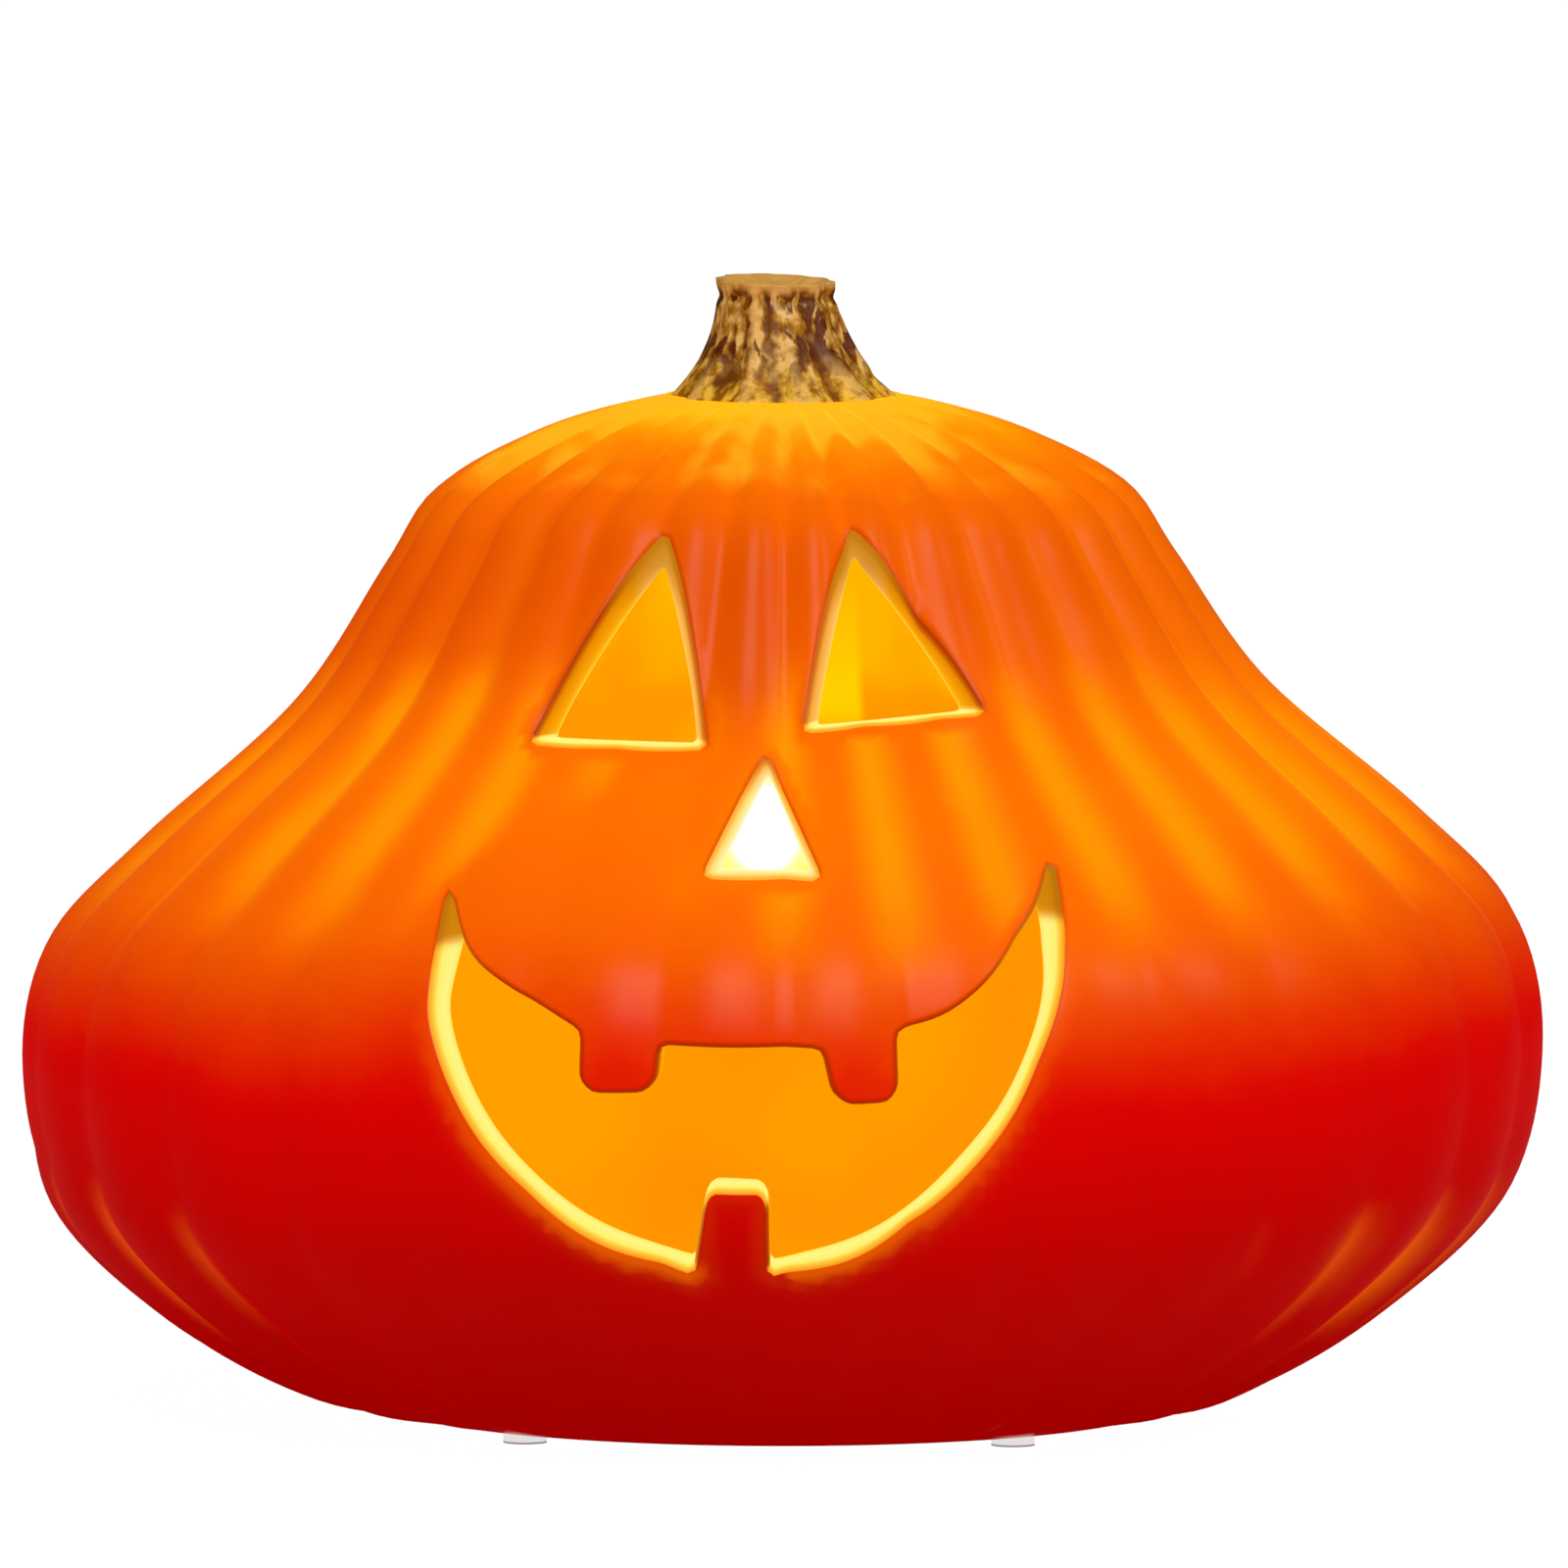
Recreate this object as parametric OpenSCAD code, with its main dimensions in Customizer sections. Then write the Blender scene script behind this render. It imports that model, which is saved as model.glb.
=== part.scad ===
// Light-up ceramic pumpkin figure. A hollow, ribbed and carved ceramic shell carries a cast resin
// stem. A round battery base fills the hole in its underside and feeds a frosted lamp that is
// glued to the inside of the back wall, behind the carved nose.
//
// Millimetres. +Z is up and the carved face looks along -Y. The origin is on the surface that the
// figure stands on, under the middle of the shell. Outlines are drawn at nominal_w and scaled to
// shell_w, while the battery base and the lamp are bought-in sizes and stay as they are.

/* [Shell] */
// Width over the widest ribs
shell_w = 190; // [180:5:220]
// Thickness of the ceramic wall
wall = 5.5; // [4.5:0.5:6]
// Number of ribs round the shell
ribs = 31; // [24:1:40]
// Depth of the grooves between the ribs at the widest part
rib_depth = 0.9; // [0.4:0.1:1.4]
// How far the widest part is raised at +X and lowered at -X, as a hand-made shape is
rim_tilt = 1.6; // [0:0.2:3]
// How far the lower belly swells on the low side
side_sag = 3.4; // [0:0.2:4]

/* [Stem] */
// Height of the stem above the shell
stem_h = 14.5; // [12:0.5:24]
// Number of ridges on the stem
stem_ridges = 10; // [6:1:14]
// How far the stem leans to the low side of the shell
stem_lean = 1.2; // [0:0.2:3]

/* [Battery base] */
// Radius of the round housing
base_r = 36.8; // [36.6:0.1:37.4]
// Height of the cover above the underside of the housing
cover_h = 9.8; // [9.8:0.1:11]
// Thickness of the bottom plate
skin = 1.4; // [1.3:0.1:1.6]

/* [Lamp] */
// Height of the lamp above the surface the figure stands on
lamp_z = 67; // [62:1:70]
// How far the lamp is set to one side
lamp_x = -5; // [-8:1:8]
// Radius of the frosted dome
dome_r = 11; // [9:0.5:12]

/* [Battery door] */
// Angle that the battery door is drawn at
door_angle = 0; // [0:1:100]

/* [Hidden] */

$fn = 64;
eps = 0.01;          // overlap that keeps cuts clean
big = 400;           // larger than any piece
nominal_w = 190;     // width that the outlines are drawn at
k = shell_w / nominal_w;

// ---------------------------------------------------------------- shell outline

pad_t = 1.2;         // thickness of the feet under the ceramic
foot_z = pad_t;      // underside of the ceramic

// Half section of the shell, radius and height above its underside, from the foot to the stem.
outline = [
    [46, 0], [58.2, 2.8], [74.3, 12.1], [90.4, 27], [95, 44.5], [91.8, 60.6], [79.9, 73.5],
    [60.9, 90.2], [49.6, 106.7], [43.3, 115.8], [30.8, 122.6], [19.2, 126.2], [8, 128.1]
];
spans = len(outline) - 1;
top_z = outline[spans].y * k;            // top of the ceramic above its underside
bulge_z = 45 * k;                        // height of the widest part

// The outline's ends are carried on in a straight line, so that the curve is defined up to them.
function control(i) =
    i < 0 ? 2 * outline[0] - outline[1]
    : i > spans ? 2 * outline[spans] - outline[spans - 1]
    : outline[i];

// Catmull-Rom curve through four points.
function curve(p0, p1, p2, p3, t) =
    0.5 * (2 * p1 + (p2 - p0) * t + (2 * p0 - 5 * p1 + 4 * p2 - p3) * t * t
        + (3 * p1 - p0 - 3 * p2 + p3) * t * t * t);

// A point of the shell's half section, where u counts the outline's spans.
function section(u) =
    let (i = min(floor(u), spans - 1))
    k * curve(control(i - 1), control(i), control(i + 1), control(i + 2), u - i);

// Outward normal of the half section.
function section_normal(u) =
    let (
        a = max(u - 0.02, 0),
        b = min(u + 0.02, spans),
        d = section(b) - section(a)
    )
    [d.y, -d.x] / norm(d);

// Radius of the shell against height above its underside.
radius_table = [for (u = [0:0.25:spans]) [section(u).y, section(u).x]];
function shell_r(z) = lookup(z, radius_table);

// ---------------------------------------------------------------- ribs

front = 270;         // azimuth of the face
groove_at = 2.5;     // rib phase of the groove beside the nose
rib_shift = 5;       // degrees by which the ribs crowd together on the face
rib_lead = 8;        // rib phase at which they are closest

// Azimuth of a rib phase: the ribs are narrower on the face than on the cheeks.
function rib_azimuth(phase) = front + phase - rib_shift * sin(2 * (phase - rib_lead));

// 0 on the crest of a rib and 1 at the bottom of a groove.
function groove(phase) = 1 - abs(sin(ribs * (phase - groove_at) / 2));

// Grooves are deepest under the shoulder and at the foot, and differ a little from rib to rib.
function groove_depth(u, phase) =
    let (
        s = section(u),
        spread = abs(s.y - bulge_z) / (70 * k),
        fade = min(1, max(0, (s.x - 8 * k) / (30 * k))) * min(1, u / 0.6)
    )
    k * rib_depth * (1 + 0.9 * spread) * (1 + 0.35 * sin(5 * phase + 40)) * fade;

// A point of the shell, inset from the outer surface along its normal.
function shell_point(u, phase, inset, rib_share) =
    let (
        s = section(u) - section_normal(u) * (inset + rib_share * groove_depth(u, phase) * groove(phase)),
        a = rib_azimuth(phase),
        tilt = k * rim_tilt * cos(a) * pow(sin(180 * s.y / top_z), 2),
        r = s.x + k * side_sag * pow(max(0, -cos(a)), 2)
            * sin(180 * pow(min(1, max(0, s.y) / (34 * k)), 0.55))
    )
    [r * cos(a), r * sin(a), foot_z + s.y + tilt];

// A closed skin through rings of points.
module skin_through(rings) {
    n = len(rings[0]);
    last = len(rings) - 1;
    polyhedron(
        points = [for (ring = rings) each ring],
        faces = concat(
            [for (i = [0:last - 1]) for (j = [0:n - 1])
                [i * n + j, (i + 1) * n + j, (i + 1) * n + (j + 1) % n, i * n + (j + 1) % n]],
            [[for (j = [0:n - 1]) j]],
            [[for (j = [n - 1:-1:0]) last * n + j]]
        ),
        convexity = 6
    );
}

outer_samples = 4 * ribs;
inner_samples = 48;

module outer_form() {
    skin_through([
        for (u = [0:0.6:spans])
            [for (j = [0:outer_samples - 1])
                shell_point(u, groove_at + 360 * j / outer_samples, 0, 1)]
    ]);
}

module cavity_form() {
    skin_through([
        for (u = [0:0.4:spans])
            [for (j = [0:inner_samples - 1]) shell_point(u, 360 * j / inner_samples, wall, 0)]
    ]);
}

// ---------------------------------------------------------------- carved face

// Each opening is cut towards a point inside, as a knife is held when carving. The eyes and
// the nose are cut towards a near point, so that they narrow inwards.
mouth_aim = [0, 0, foot_z + 63.8 * k];
nose_aim = [1.9 * k, -45 * k, foot_z + 75 * k];
left_eye_aim = [-13.5 * k, -29 * k, foot_z + 89 * k];
right_eye_aim = [12.7 * k, -28 * k, foot_z + 91 * k];
knife_out = 130 * k; // where the cut ends, outside the face, from its aim

// Corners of the openings, seen from the front: x, and height above the ceramic's underside.
left_eye = [[-28.4, 88.2], [-12.1, 113.2], [-6, 88]];
right_eye = [[6.2, 90.3], [10.6, 114], [27.5, 91.8]];
nose = [[-5, 73.8], [1.6, 86.8], [8.9, 73.5]];

upper_left_lip = [[-37.7, 70.5], [-34.4, 64.4], [-29.3, 60.5], [-24.1, 57.8], [-19.8, 55.5]];
upper_left_tooth = [[-19.9, 49.8], [-18, 48], [-12, 48], [-10.2, 49.8], [-9.8, 53.8]];
upper_right_tooth = [[10.2, 53.5], [11.6, 48.4], [14, 46.8], [18.6, 46.9], [19.8, 48.8]];
upper_right_lip = [[19.6, 55.5], [25, 57.4], [29.6, 60.8], [33, 64.8], [35.7, 69.7], [36.7, 74]];
lower_right_lip = [[38.7, 67], [38.9, 61], [37.4, 54.2], [33.6, 45.8], [28, 38.6], [21.4, 32.3],
    [14, 27.9], [3.6, 24.8]];
lower_tooth = [[3.7, 34.2], [3, 35.8], [-3.5, 36.1], [-4.3, 35]];
lower_left_lip = [[-6, 25.4], [-16.8, 29.3], [-24.1, 33.9], [-30.8, 40.5], [-35.4, 47.8],
    [-38.5, 56], [-38.7, 62]];

// Extra points on a smooth curve through the listed ones.
function smooth(points, steps = 4) =
    let (n = len(points) - 1)
    concat(
        [for (i = [0:n - 1]) for (j = [0:steps - 1])
            curve(points[max(i - 1, 0)], points[i], points[i + 1], points[min(i + 2, n)], j / steps)],
        [points[n]]
    );

// Extra points along the straight sides between corners.
function with_sides(corners, steps = 6) =
    [for (i = [0:len(corners) - 1]) for (j = [0:steps - 1])
        corners[i] + (corners[(i + 1) % len(corners)] - corners[i]) * j / steps];

mouth = concat(
    smooth(upper_left_lip), upper_left_tooth, upper_right_tooth, smooth(upper_right_lip),
    smooth(lower_right_lip), lower_tooth, smooth(lower_left_lip)
);

// Where the line from the aim through a point of the face meets the far end of the cut.
function on_knife_plane(p, aim) =
    let (
        x = k * p.x,
        z = k * p.y,
        depth = sqrt(pow(shell_r(z), 2) - x * x)
    )
    [x - aim.x, z + foot_z - aim.z] * knife_out / (depth + aim.y);

// The cut starts near mm from its aim.
module knife_cut(opening, aim, near) {
    spread = knife_out / near;
    translate(aim) rotate([90, 0, 0]) translate([0, 0, near])
        linear_extrude(height = knife_out - near, scale = spread, slices = 1, convexity = 6)
            polygon([for (p = opening) on_knife_plane(p, aim) / spread]);
}

// ---------------------------------------------------------------- fits in the shell

flange_r = base_r + 2.6;     // flange of the battery base
rebate_r = flange_r + 0.4;   // recess in the underside that takes the flange
rebate_h = 2.6;
gasket_t = 0.6;
base_hole_r = base_r + 0.6;
spigot_r = 5;                // peg under the stem
spigot_h = 9;

module pumpkin_shell() {
    color("darkorange") difference() {
        outer_form();
        cavity_form();
        knife_cut(with_sides(left_eye), left_eye_aim, 8);
        knife_cut(with_sides(right_eye), right_eye_aim, 8);
        knife_cut(with_sides(nose, 4), nose_aim, 10);
        knife_cut(mouth, mouth_aim, 30);
        translate([0, 0, -eps]) cylinder(r = rebate_r, h = foot_z + rebate_h + eps);
        translate([0, 0, -eps]) cylinder(r = base_hole_r, h = foot_z + wall + 1);
        translate([0, 0, stem_z - 12]) cylinder(r = spigot_r + 0.15, h = 20);
        translate([0, 0, stem_z]) cylinder(r = stem_seat_r, h = 20);
    }
}

// ---------------------------------------------------------------- stem

stem_top_r = 7.2;
stem_foot_r = 13.4;
stem_seat_r = 14.9;
stem_z = foot_z + top_z - 1.1 * k;   // flat seat ground into the shell's top

// Radius of the stem against height, as a share of stem_h.
function stem_r(t) = stem_top_r + (stem_foot_r - stem_top_r) * pow(1 - t, 2.2);

// Ridges that run up the stem, and a slight lean of its cut top.
function stem_point(t, a) =
    let (
        ridge = 1 + 0.07 * (0.5 + 0.5 * cos(stem_ridges * a + 25 * t)) + 0.03 * sin(3 * a + 80 * t),
        r = stem_r(t) * ridge
    )
    [r * cos(a) - stem_lean * t, r * sin(a), stem_z + stem_h * t * (1 + 0.02 * t * cos(a - 135))];

module stem() {
    samples = 40;
    color("tan") {
        skin_through([
            for (t = [0, 0.06, 0.15, 0.28, 0.44, 0.62, 0.8, 0.95, 1])
                [for (j = [0:samples - 1]) stem_point(t, 360 * j / samples)]
        ]);
        translate([0, 0, stem_z - spigot_h]) cylinder(r = spigot_r, h = spigot_h + 1);
    }
}

// ---------------------------------------------------------------- battery base

foot_pad_r = 2.7;            // feet on the flat rim of the underside
foot_pad_ring = 42.9 * k;

base_z = foot_z + 0.6;       // underside of the housing, inside the rebate
plate_top = base_z + skin;
cover_z = base_z + cover_h;
cover_t = 1.2;
inner_r = base_r - 1.6;      // inside of the round wall

cell_r = 5.25;               // AAA cells
cell_l = 44.5;
cell_pitch = 11;
bay_y = -3;                  // middle of the battery bay
bay_x = 24.6;                // half its length inside
bay_w = 1.5 * cell_pitch + 0.4;      // half its width inside
bay_wall = 1.8;
foam_t = 0.5;                // foam that keeps the cells from rattling
cell_z = plate_top + foam_t + 0.1 + cell_r;
bay_roof = cell_z + cell_r + 0.3;
roof_t = 1;

door_gap = 0.3;
door_lap = 0.7;              // the door's overlap on the bay walls
door_x = bay_x + door_lap;   // half the length of the door
door_front = bay_y - bay_w - door_lap;
door_back = bay_y + bay_w + door_lap;
door_t = skin - 0.1;
hinge_y = door_front - 2.5;
hinge_z = base_z + 1.3;
hinge_r = 1.2;
hinge_bore_r = 1.28;
hinge_arm = 12;              // half the width of the door's hinge arm

screw_y = door_back + 3.9;   // door screw
tab_x = 5;
tab_end = screw_y + 3.2;
boss_r = 2.9;                // screw boss on the door
screw_pocket_z = plate_top + 1.7;

switch_y = 27;
switch_travel = 2;
board_z = base_z + 5.3;
outlet = [22, 19.5];         // where the lamp's leads leave the cover
wire_z = bay_roof - 4.4;     // where the battery wires leave the bay
wire_r = 0.45;

post_at = [[-30.8, -3], [30.8, -3], [-17.4, 27], [17.4, 27.6], [0, -30]];
board_pegs = [[-10.4, 29], [10.4, 29]];

module at_each(places) {
    for (p = places) translate([p.x, p.y, 0]) children();
}

module block(x0, x1, y0, y1, z0, z1) {
    translate([x0, y0, z0]) cube([x1 - x0, y1 - y0, z1 - z0]);
}

module foot_pads() {
    color("dimgray") for (a = [45:90:315])
        rotate([0, 0, a]) translate([foot_pad_ring, 0, 0]) cylinder(r = foot_pad_r, h = pad_t);
}

module base_gasket() {
    color("white") translate([0, 0, foot_z + rebate_h - gasket_t]) difference() {
        cylinder(r = flange_r - 0.1, h = gasket_t);
        translate([0, 0, -1]) cylinder(r = base_hole_r + 0.2, h = gasket_t + 2);
    }
}

module housing_solids() {
    // Flange and bottom plate, round wall, bay walls and roof, screw posts.
    translate([0, 0, base_z]) cylinder(r = flange_r, h = skin);
    translate([0, 0, base_z]) difference() {
        cylinder(r = base_r, h = cover_h);
        translate([0, 0, -1]) cylinder(r = inner_r, h = big);
    }
    intersection() {
        translate([0, 0, base_z]) cylinder(r = inner_r + 0.5, h = big);
        block(-bay_x - bay_wall, bay_x + bay_wall, bay_y - bay_w - bay_wall, bay_y + bay_w + bay_wall,
            plate_top - eps, bay_roof + roof_t);
    }
    at_each(post_at) translate([0, 0, base_z]) cylinder(r = 2.4, h = cover_h);
    translate([0, screw_y, base_z]) cylinder(r = boss_r + 1.3, h = screw_pocket_z + 5.4 - base_z);
    at_each(board_pegs) translate([0, 0, base_z]) {
        cylinder(r = 1.6, h = board_z - base_z);
        cylinder(r = 0.75, h = board_z - base_z + 2);
    }
    // Ears that hold the door's trunnions.
    for (side = [-1, 1]) translate([side * (hinge_arm + 1.9), hinge_y, base_z + 1.9])
        cube([3, 4.2, 3.8], center = true);
}

module base_housing() {
    color("ivory") difference() {
        housing_solids();
        // battery bay
        block(-bay_x, bay_x, bay_y - bay_w, bay_y + bay_w, base_z - 1, bay_roof);
        // recess for the door, its hinge arm and its screw tab
        block(-door_x - door_gap, door_x + door_gap, door_front - 0.5, door_back + door_gap,
            base_z - 1, plate_top);
        block(-hinge_arm - door_gap, hinge_arm + door_gap, hinge_y - 1.7, door_front, base_z - 1,
            plate_top + eps);
        block(-tab_x - door_gap, tab_x + door_gap, door_back, tab_end + door_gap, base_z - 1,
            plate_top);
        translate([0, screw_y, base_z - 1]) cylinder(r = boss_r + door_gap, h = screw_pocket_z - base_z + 1);
        // bores for the trunnions, the brass insert, the cover screws
        translate([0, hinge_y, hinge_z]) rotate([0, 90, 0])
            cylinder(r = hinge_bore_r, h = 2 * (hinge_arm + 4), center = true);
        translate([0, screw_y, screw_pocket_z - eps]) cylinder(r = 2.1, h = 4.2);
        translate([0, screw_y, screw_pocket_z]) cylinder(r = 1.6, h = 6);
        at_each(post_at) translate([0, 0, cover_z - 6]) cylinder(r = 1, h = 7);
        // slot for the switch
        block(-3.6, 3.6, switch_y - 1.3, switch_y + 1.3, base_z - 1, plate_top + 1);
        // holes for the battery wires
        translate([bay_x, bay_y - cell_pitch, wire_z]) rotate([0, 90, 0])
            cylinder(r = wire_r + 0.35, h = 6, center = true);
        translate([-bay_x, bay_y + cell_pitch, wire_z]) rotate([0, 90, 0])
            cylinder(r = wire_r + 0.35, h = 6, center = true);
    }
}

// A ring-shaped lid: the battery bay stands up through its middle.
module base_cover() {
    bay_gap = bay_wall + 0.3;
    color("ivory") difference() {
        union() {
            translate([0, 0, cover_z]) cylinder(r = base_r, h = cover_t);
            translate([0, 0, cover_z - 1.2]) difference() {
                cylinder(r = inner_r - 0.2, h = 1.2 + eps);
                translate([0, 0, -1]) cylinder(r = inner_r - 1.4, h = 4);
                at_each(post_at) translate([0, 0, -1]) cylinder(r = 2.8, h = 4);
            }
        }
        block(-bay_x - bay_gap, bay_x + bay_gap, bay_y - bay_w - bay_gap, bay_y + bay_w + bay_gap,
            cover_z - 3, cover_z + 4);
        at_each(post_at) translate([0, 0, cover_z - 2]) cylinder(r = 1.2, h = 5);
        translate([outlet.x, outlet.y, cover_z - 1]) cylinder(r = 2.6, h = 5);
    }
}

module cover_screws() {
    color("silver") at_each(post_at) difference() {
        union() {
            translate([0, 0, cover_z + cover_t]) cylinder(r = 1.9, h = 1.1);
            translate([0, 0, cover_z - 5]) cylinder(r = 0.95, h = cover_t + 5 + eps);
        }
        for (turn = [0, 90]) translate([0, 0, cover_z + cover_t + 1.1]) rotate([0, 0, turn])
            cube([2.2, 0.5, 1.2], center = true);
    }
}

// ---------------------------------------------------------------- battery door

module at_door() {
    translate([0, hinge_y, hinge_z]) rotate([-door_angle, 0, 0]) translate([0, -hinge_y, -hinge_z])
        children();
}

module battery_door() {
    color("ivory") at_door() difference() {
        union() {
            block(-door_x, door_x, door_front, door_back, base_z, base_z + door_t);
            block(-tab_x, tab_x, door_back - 1, tab_end, base_z, base_z + door_t);
            translate([0, screw_y, base_z]) cylinder(r = boss_r, h = 2.7);
            block(-hinge_arm, hinge_arm, hinge_y, door_front + 1, hinge_z - hinge_r, base_z + door_t);
            translate([0, hinge_y, hinge_z]) rotate([0, 90, 0])
                cylinder(r = hinge_r, h = 2 * (hinge_arm + 3.2), center = true);
        }
        translate([0, screw_y, base_z - 1]) cylinder(r = 2.3, h = 2.4);
        translate([0, screw_y, base_z - 1]) cylinder(r = 1.45, h = 6);
        // finger grip grooves
        for (i = [-2:2]) block(-6, 6, door_back - 3.4 + 1.3 * i - 0.3, door_back - 3.4 + 1.3 * i + 0.3,
            base_z - 1, base_z + 0.3);
    }
}

module door_foam() {
    color("dimgray") at_door()
        block(-7, 7, bay_y - bay_w + 2, bay_y + bay_w - 2, base_z + door_t, base_z + door_t + foam_t);
}

screw_head_z = base_z + 0.1;

module door_screw() {
    color("silver") at_door() translate([0, screw_y, screw_head_z]) difference() {
        union() {
            cylinder(r = 2.1, h = 1.2);
            cylinder(r = 1.25, h = 5.6);
        }
        for (turn = [0, 90]) rotate([0, 0, turn]) cube([2.6, 0.5, 1.4], center = true);
    }
}

module screw_insert() {
    color("goldenrod") translate([0, screw_y, screw_pocket_z]) difference() {
        cylinder(r = 2.1, h = 4);
        translate([0, 0, -1]) cylinder(r = 1.45, h = 6);
    }
}

// ---------------------------------------------------------------- cells and contacts

contact_t = 0.5;
cell_end = bay_x - contact_t - 0.05;         // tip of a cell's positive nub
spring_l = 2 * bay_x - 2 * contact_t - cell_l - 0.15;

// A cell that points along +X, or along -X where way is -1.
module cell(place, way) {
    translate([0, bay_y + place * cell_pitch, cell_z]) rotate([0, 0, way < 0 ? 180 : 0])
        translate([cell_end, 0, 0]) rotate([0, -90, 0]) {
            cylinder(r = 1.9, h = 1 + eps);
            translate([0, 0, 1]) cylinder(r = cell_r, h = cell_l - 1);
        }
}

module battery_front() { color("royalblue") cell(-1, 1); }
module battery_middle() { color("royalblue") cell(0, -1); }
module battery_rear() { color("royalblue") cell(1, 1); }

// A tube swept along a path with the given number of sides.
function path_tangent(path, i) =
    let (d = path[min(i + 1, len(path) - 1)] - path[max(i - 1, 0)])
    d / norm(d);

function ring_at(point, along, facing, r, sides) =
    let (
        side = cross(along, facing) / norm(cross(along, facing)),
        up = cross(side, along)
    )
    [for (j = [0:sides - 1])
        point + r * (side * cos(360 * j / sides) + up * sin(360 * j / sides))];

module tube(path, facings, r, sides) {
    skin_through([
        for (i = [0:len(path) - 1])
            ring_at(path[i], path_tangent(path, i), facings[i], r, sides)
    ]);
}

// A conical coil along +X that starts on a contact plate.
module coil(turns = 3, wire_r = 0.35, r0 = 3.6, r1 = 2.2) {
    steps = 14;
    n = turns * steps;
    path = [for (i = [0:n]) let (r = r0 + (r1 - r0) * i / n, a = 360 * i / steps)
        [wire_r + 0.05 + (spring_l - 2 * wire_r - 0.1) * i / n, r * cos(a), r * sin(a)]];
    tube(path, [for (i = [0:n]) [1, 0, 0]], wire_r, 6);
}

module contact_springs() {
    color("silver") for (place = [-1, 0, 1]) {
        way = place == 0 ? -1 : 1;
        translate([0, bay_y + place * cell_pitch, cell_z]) rotate([0, 0, way < 0 ? 180 : 0])
            translate([-bay_x + contact_t, 0, 0]) coil();
    }
}

// Plates at both ends of the bay: one joins two cells, the other is the end of the chain.
module contact_plates() {
    h = 8.6;
    color("silver") {
        single = bay_y - cell_pitch;
        block(bay_x - contact_t, bay_x, single - 4.2, single + 4.2, cell_z - h / 2, cell_z + h / 2);
        block(bay_x - contact_t, bay_x, bay_y - 4.2, bay_y + cell_pitch + 4.2, cell_z - h / 2, cell_z + h / 2);
        block(-bay_x, -bay_x + contact_t, single - 4.2, bay_y + 4.2, cell_z - h / 2, cell_z + h / 2);
        block(-bay_x, -bay_x + contact_t, bay_y + cell_pitch - 4.2, bay_y + cell_pitch + 4.2,
            cell_z - h / 2, cell_z + h / 2);
    }
}

// ---------------------------------------------------------------- electronics

board_t = 1.2;

module circuit_board() {
    color("seagreen") difference() {
        block(-12.4, 12.4, 23.2, 31.2, board_z, board_z + board_t);
        at_each(board_pegs) translate([0, 0, board_z - 1]) cylinder(r = 0.85, h = 4);
    }
}

module timer_chip() {
    color("black") block(1.6, 5.8, 24.6, 28.4, board_z + board_t, board_z + board_t + 1.6);
}

module capacitor() {
    color("darkslateblue") translate([-5.4, 26.2, board_z + board_t]) cylinder(r = 1.9, h = 3);
}

module resistor() {
    color("tan") translate([-1.6, 29.6, board_z + board_t + 0.9]) rotate([0, 90, 0])
        cylinder(r = 0.75, h = 4);
}

// Wires from the ends of the battery chain to the board, round the outside of the bay.
module battery_wires() {
    pad_z = board_z + board_t + 0.5;
    plus = [
        [bay_x + 0.3, bay_y - cell_pitch, wire_z], [27.1, -13.2, wire_z], [27.4, -9, wire_z],
        [27.4, 5, wire_z - 1], [27.7, 14.5, wire_z - 2], [27, 17.2, wire_z - 3],
        [20.5, 17.8, wire_z - 3], [13, 21.2, wire_z - 2], [9.6, 23.6, pad_z + 1], [9.4, 24.8, pad_z]
    ];
    minus = [
        [-bay_x - 0.3, bay_y + cell_pitch, wire_z], [-27.1, 8.6, wire_z], [-27.7, 14.3, wire_z - 1],
        [-27, 17.2, wire_z - 2], [-20.5, 18.4, wire_z - 2], [-13, 21.2, wire_z - 2],
        [-9.6, 23.6, pad_z + 1], [-9.4, 24.8, pad_z]
    ];
    color("crimson") for (corners = [plus, minus]) {
        path = smooth(corners, 3);
        tube(path, [for (p = path) [0.1, 0.3, 1]], wire_r, 6);
    }
}

module switch_body() {
    color("silver") translate([0, switch_y, plate_top + 0.05]) difference() {
        block(-4.4, 4.4, -2.2, 2.2, 0, 3.7);
        block(-3.4, 3.4, -1.1, 1.1, -1, 1);
        block(-4, 4, -1.6, 1.6, 0.6, 2);
    }
}

module switch_slider() {
    color("black") translate([-switch_travel, switch_y, base_z + 0.1]) {
        block(-1.2, 1.2, -0.9, 0.9, 0, 2.2);
        block(-1.8, 1.8, -1.4, 1.4, 2.15, 3.1);
    }
}

// ---------------------------------------------------------------- lamp

// A point on the inside of the shell: azimuth from the back towards +X, span of the outline,
// and height above the ceramic. It comes with the direction that faces away from the wall.
function inside_point(turn, u, lift) =
    let (s = section(u) - section_normal(u) * (wall + lift))
    [s.x * sin(turn), s.x * cos(turn), foot_z + s.y];
function inside_facing(turn, u) =
    let (n = section_normal(u))
    [-n.x * sin(turn), -n.x * cos(turn), -n.y];

lamp_u = 5.45;               // span of the outline that the lamp is glued to
lamp_turn = asin(lamp_x / section(lamp_u).x);
seat_t = 1.4;                // foam between the bracket and the wall
seat_r = 7.2;
seat_gap = 1.65;             // the flat foam clears the hollow wall at its rim
plate_t = 1.6;
cup_r = 8.6;
cup_front = 60;              // y of the cup's rim

// Local frame on the inside of the back wall, with +Z facing away from it.
module at_seat(lift) {
    n = section_normal(lamp_u);
    translate(inside_point(lamp_turn, lamp_u, lift)) rotate([90 + atan2(n.y, n.x), 0, -lamp_turn])
        children();
}

module lamp_pad() {
    color("white") at_seat(seat_gap) cylinder(r = seat_r, h = seat_t);
}

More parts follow.
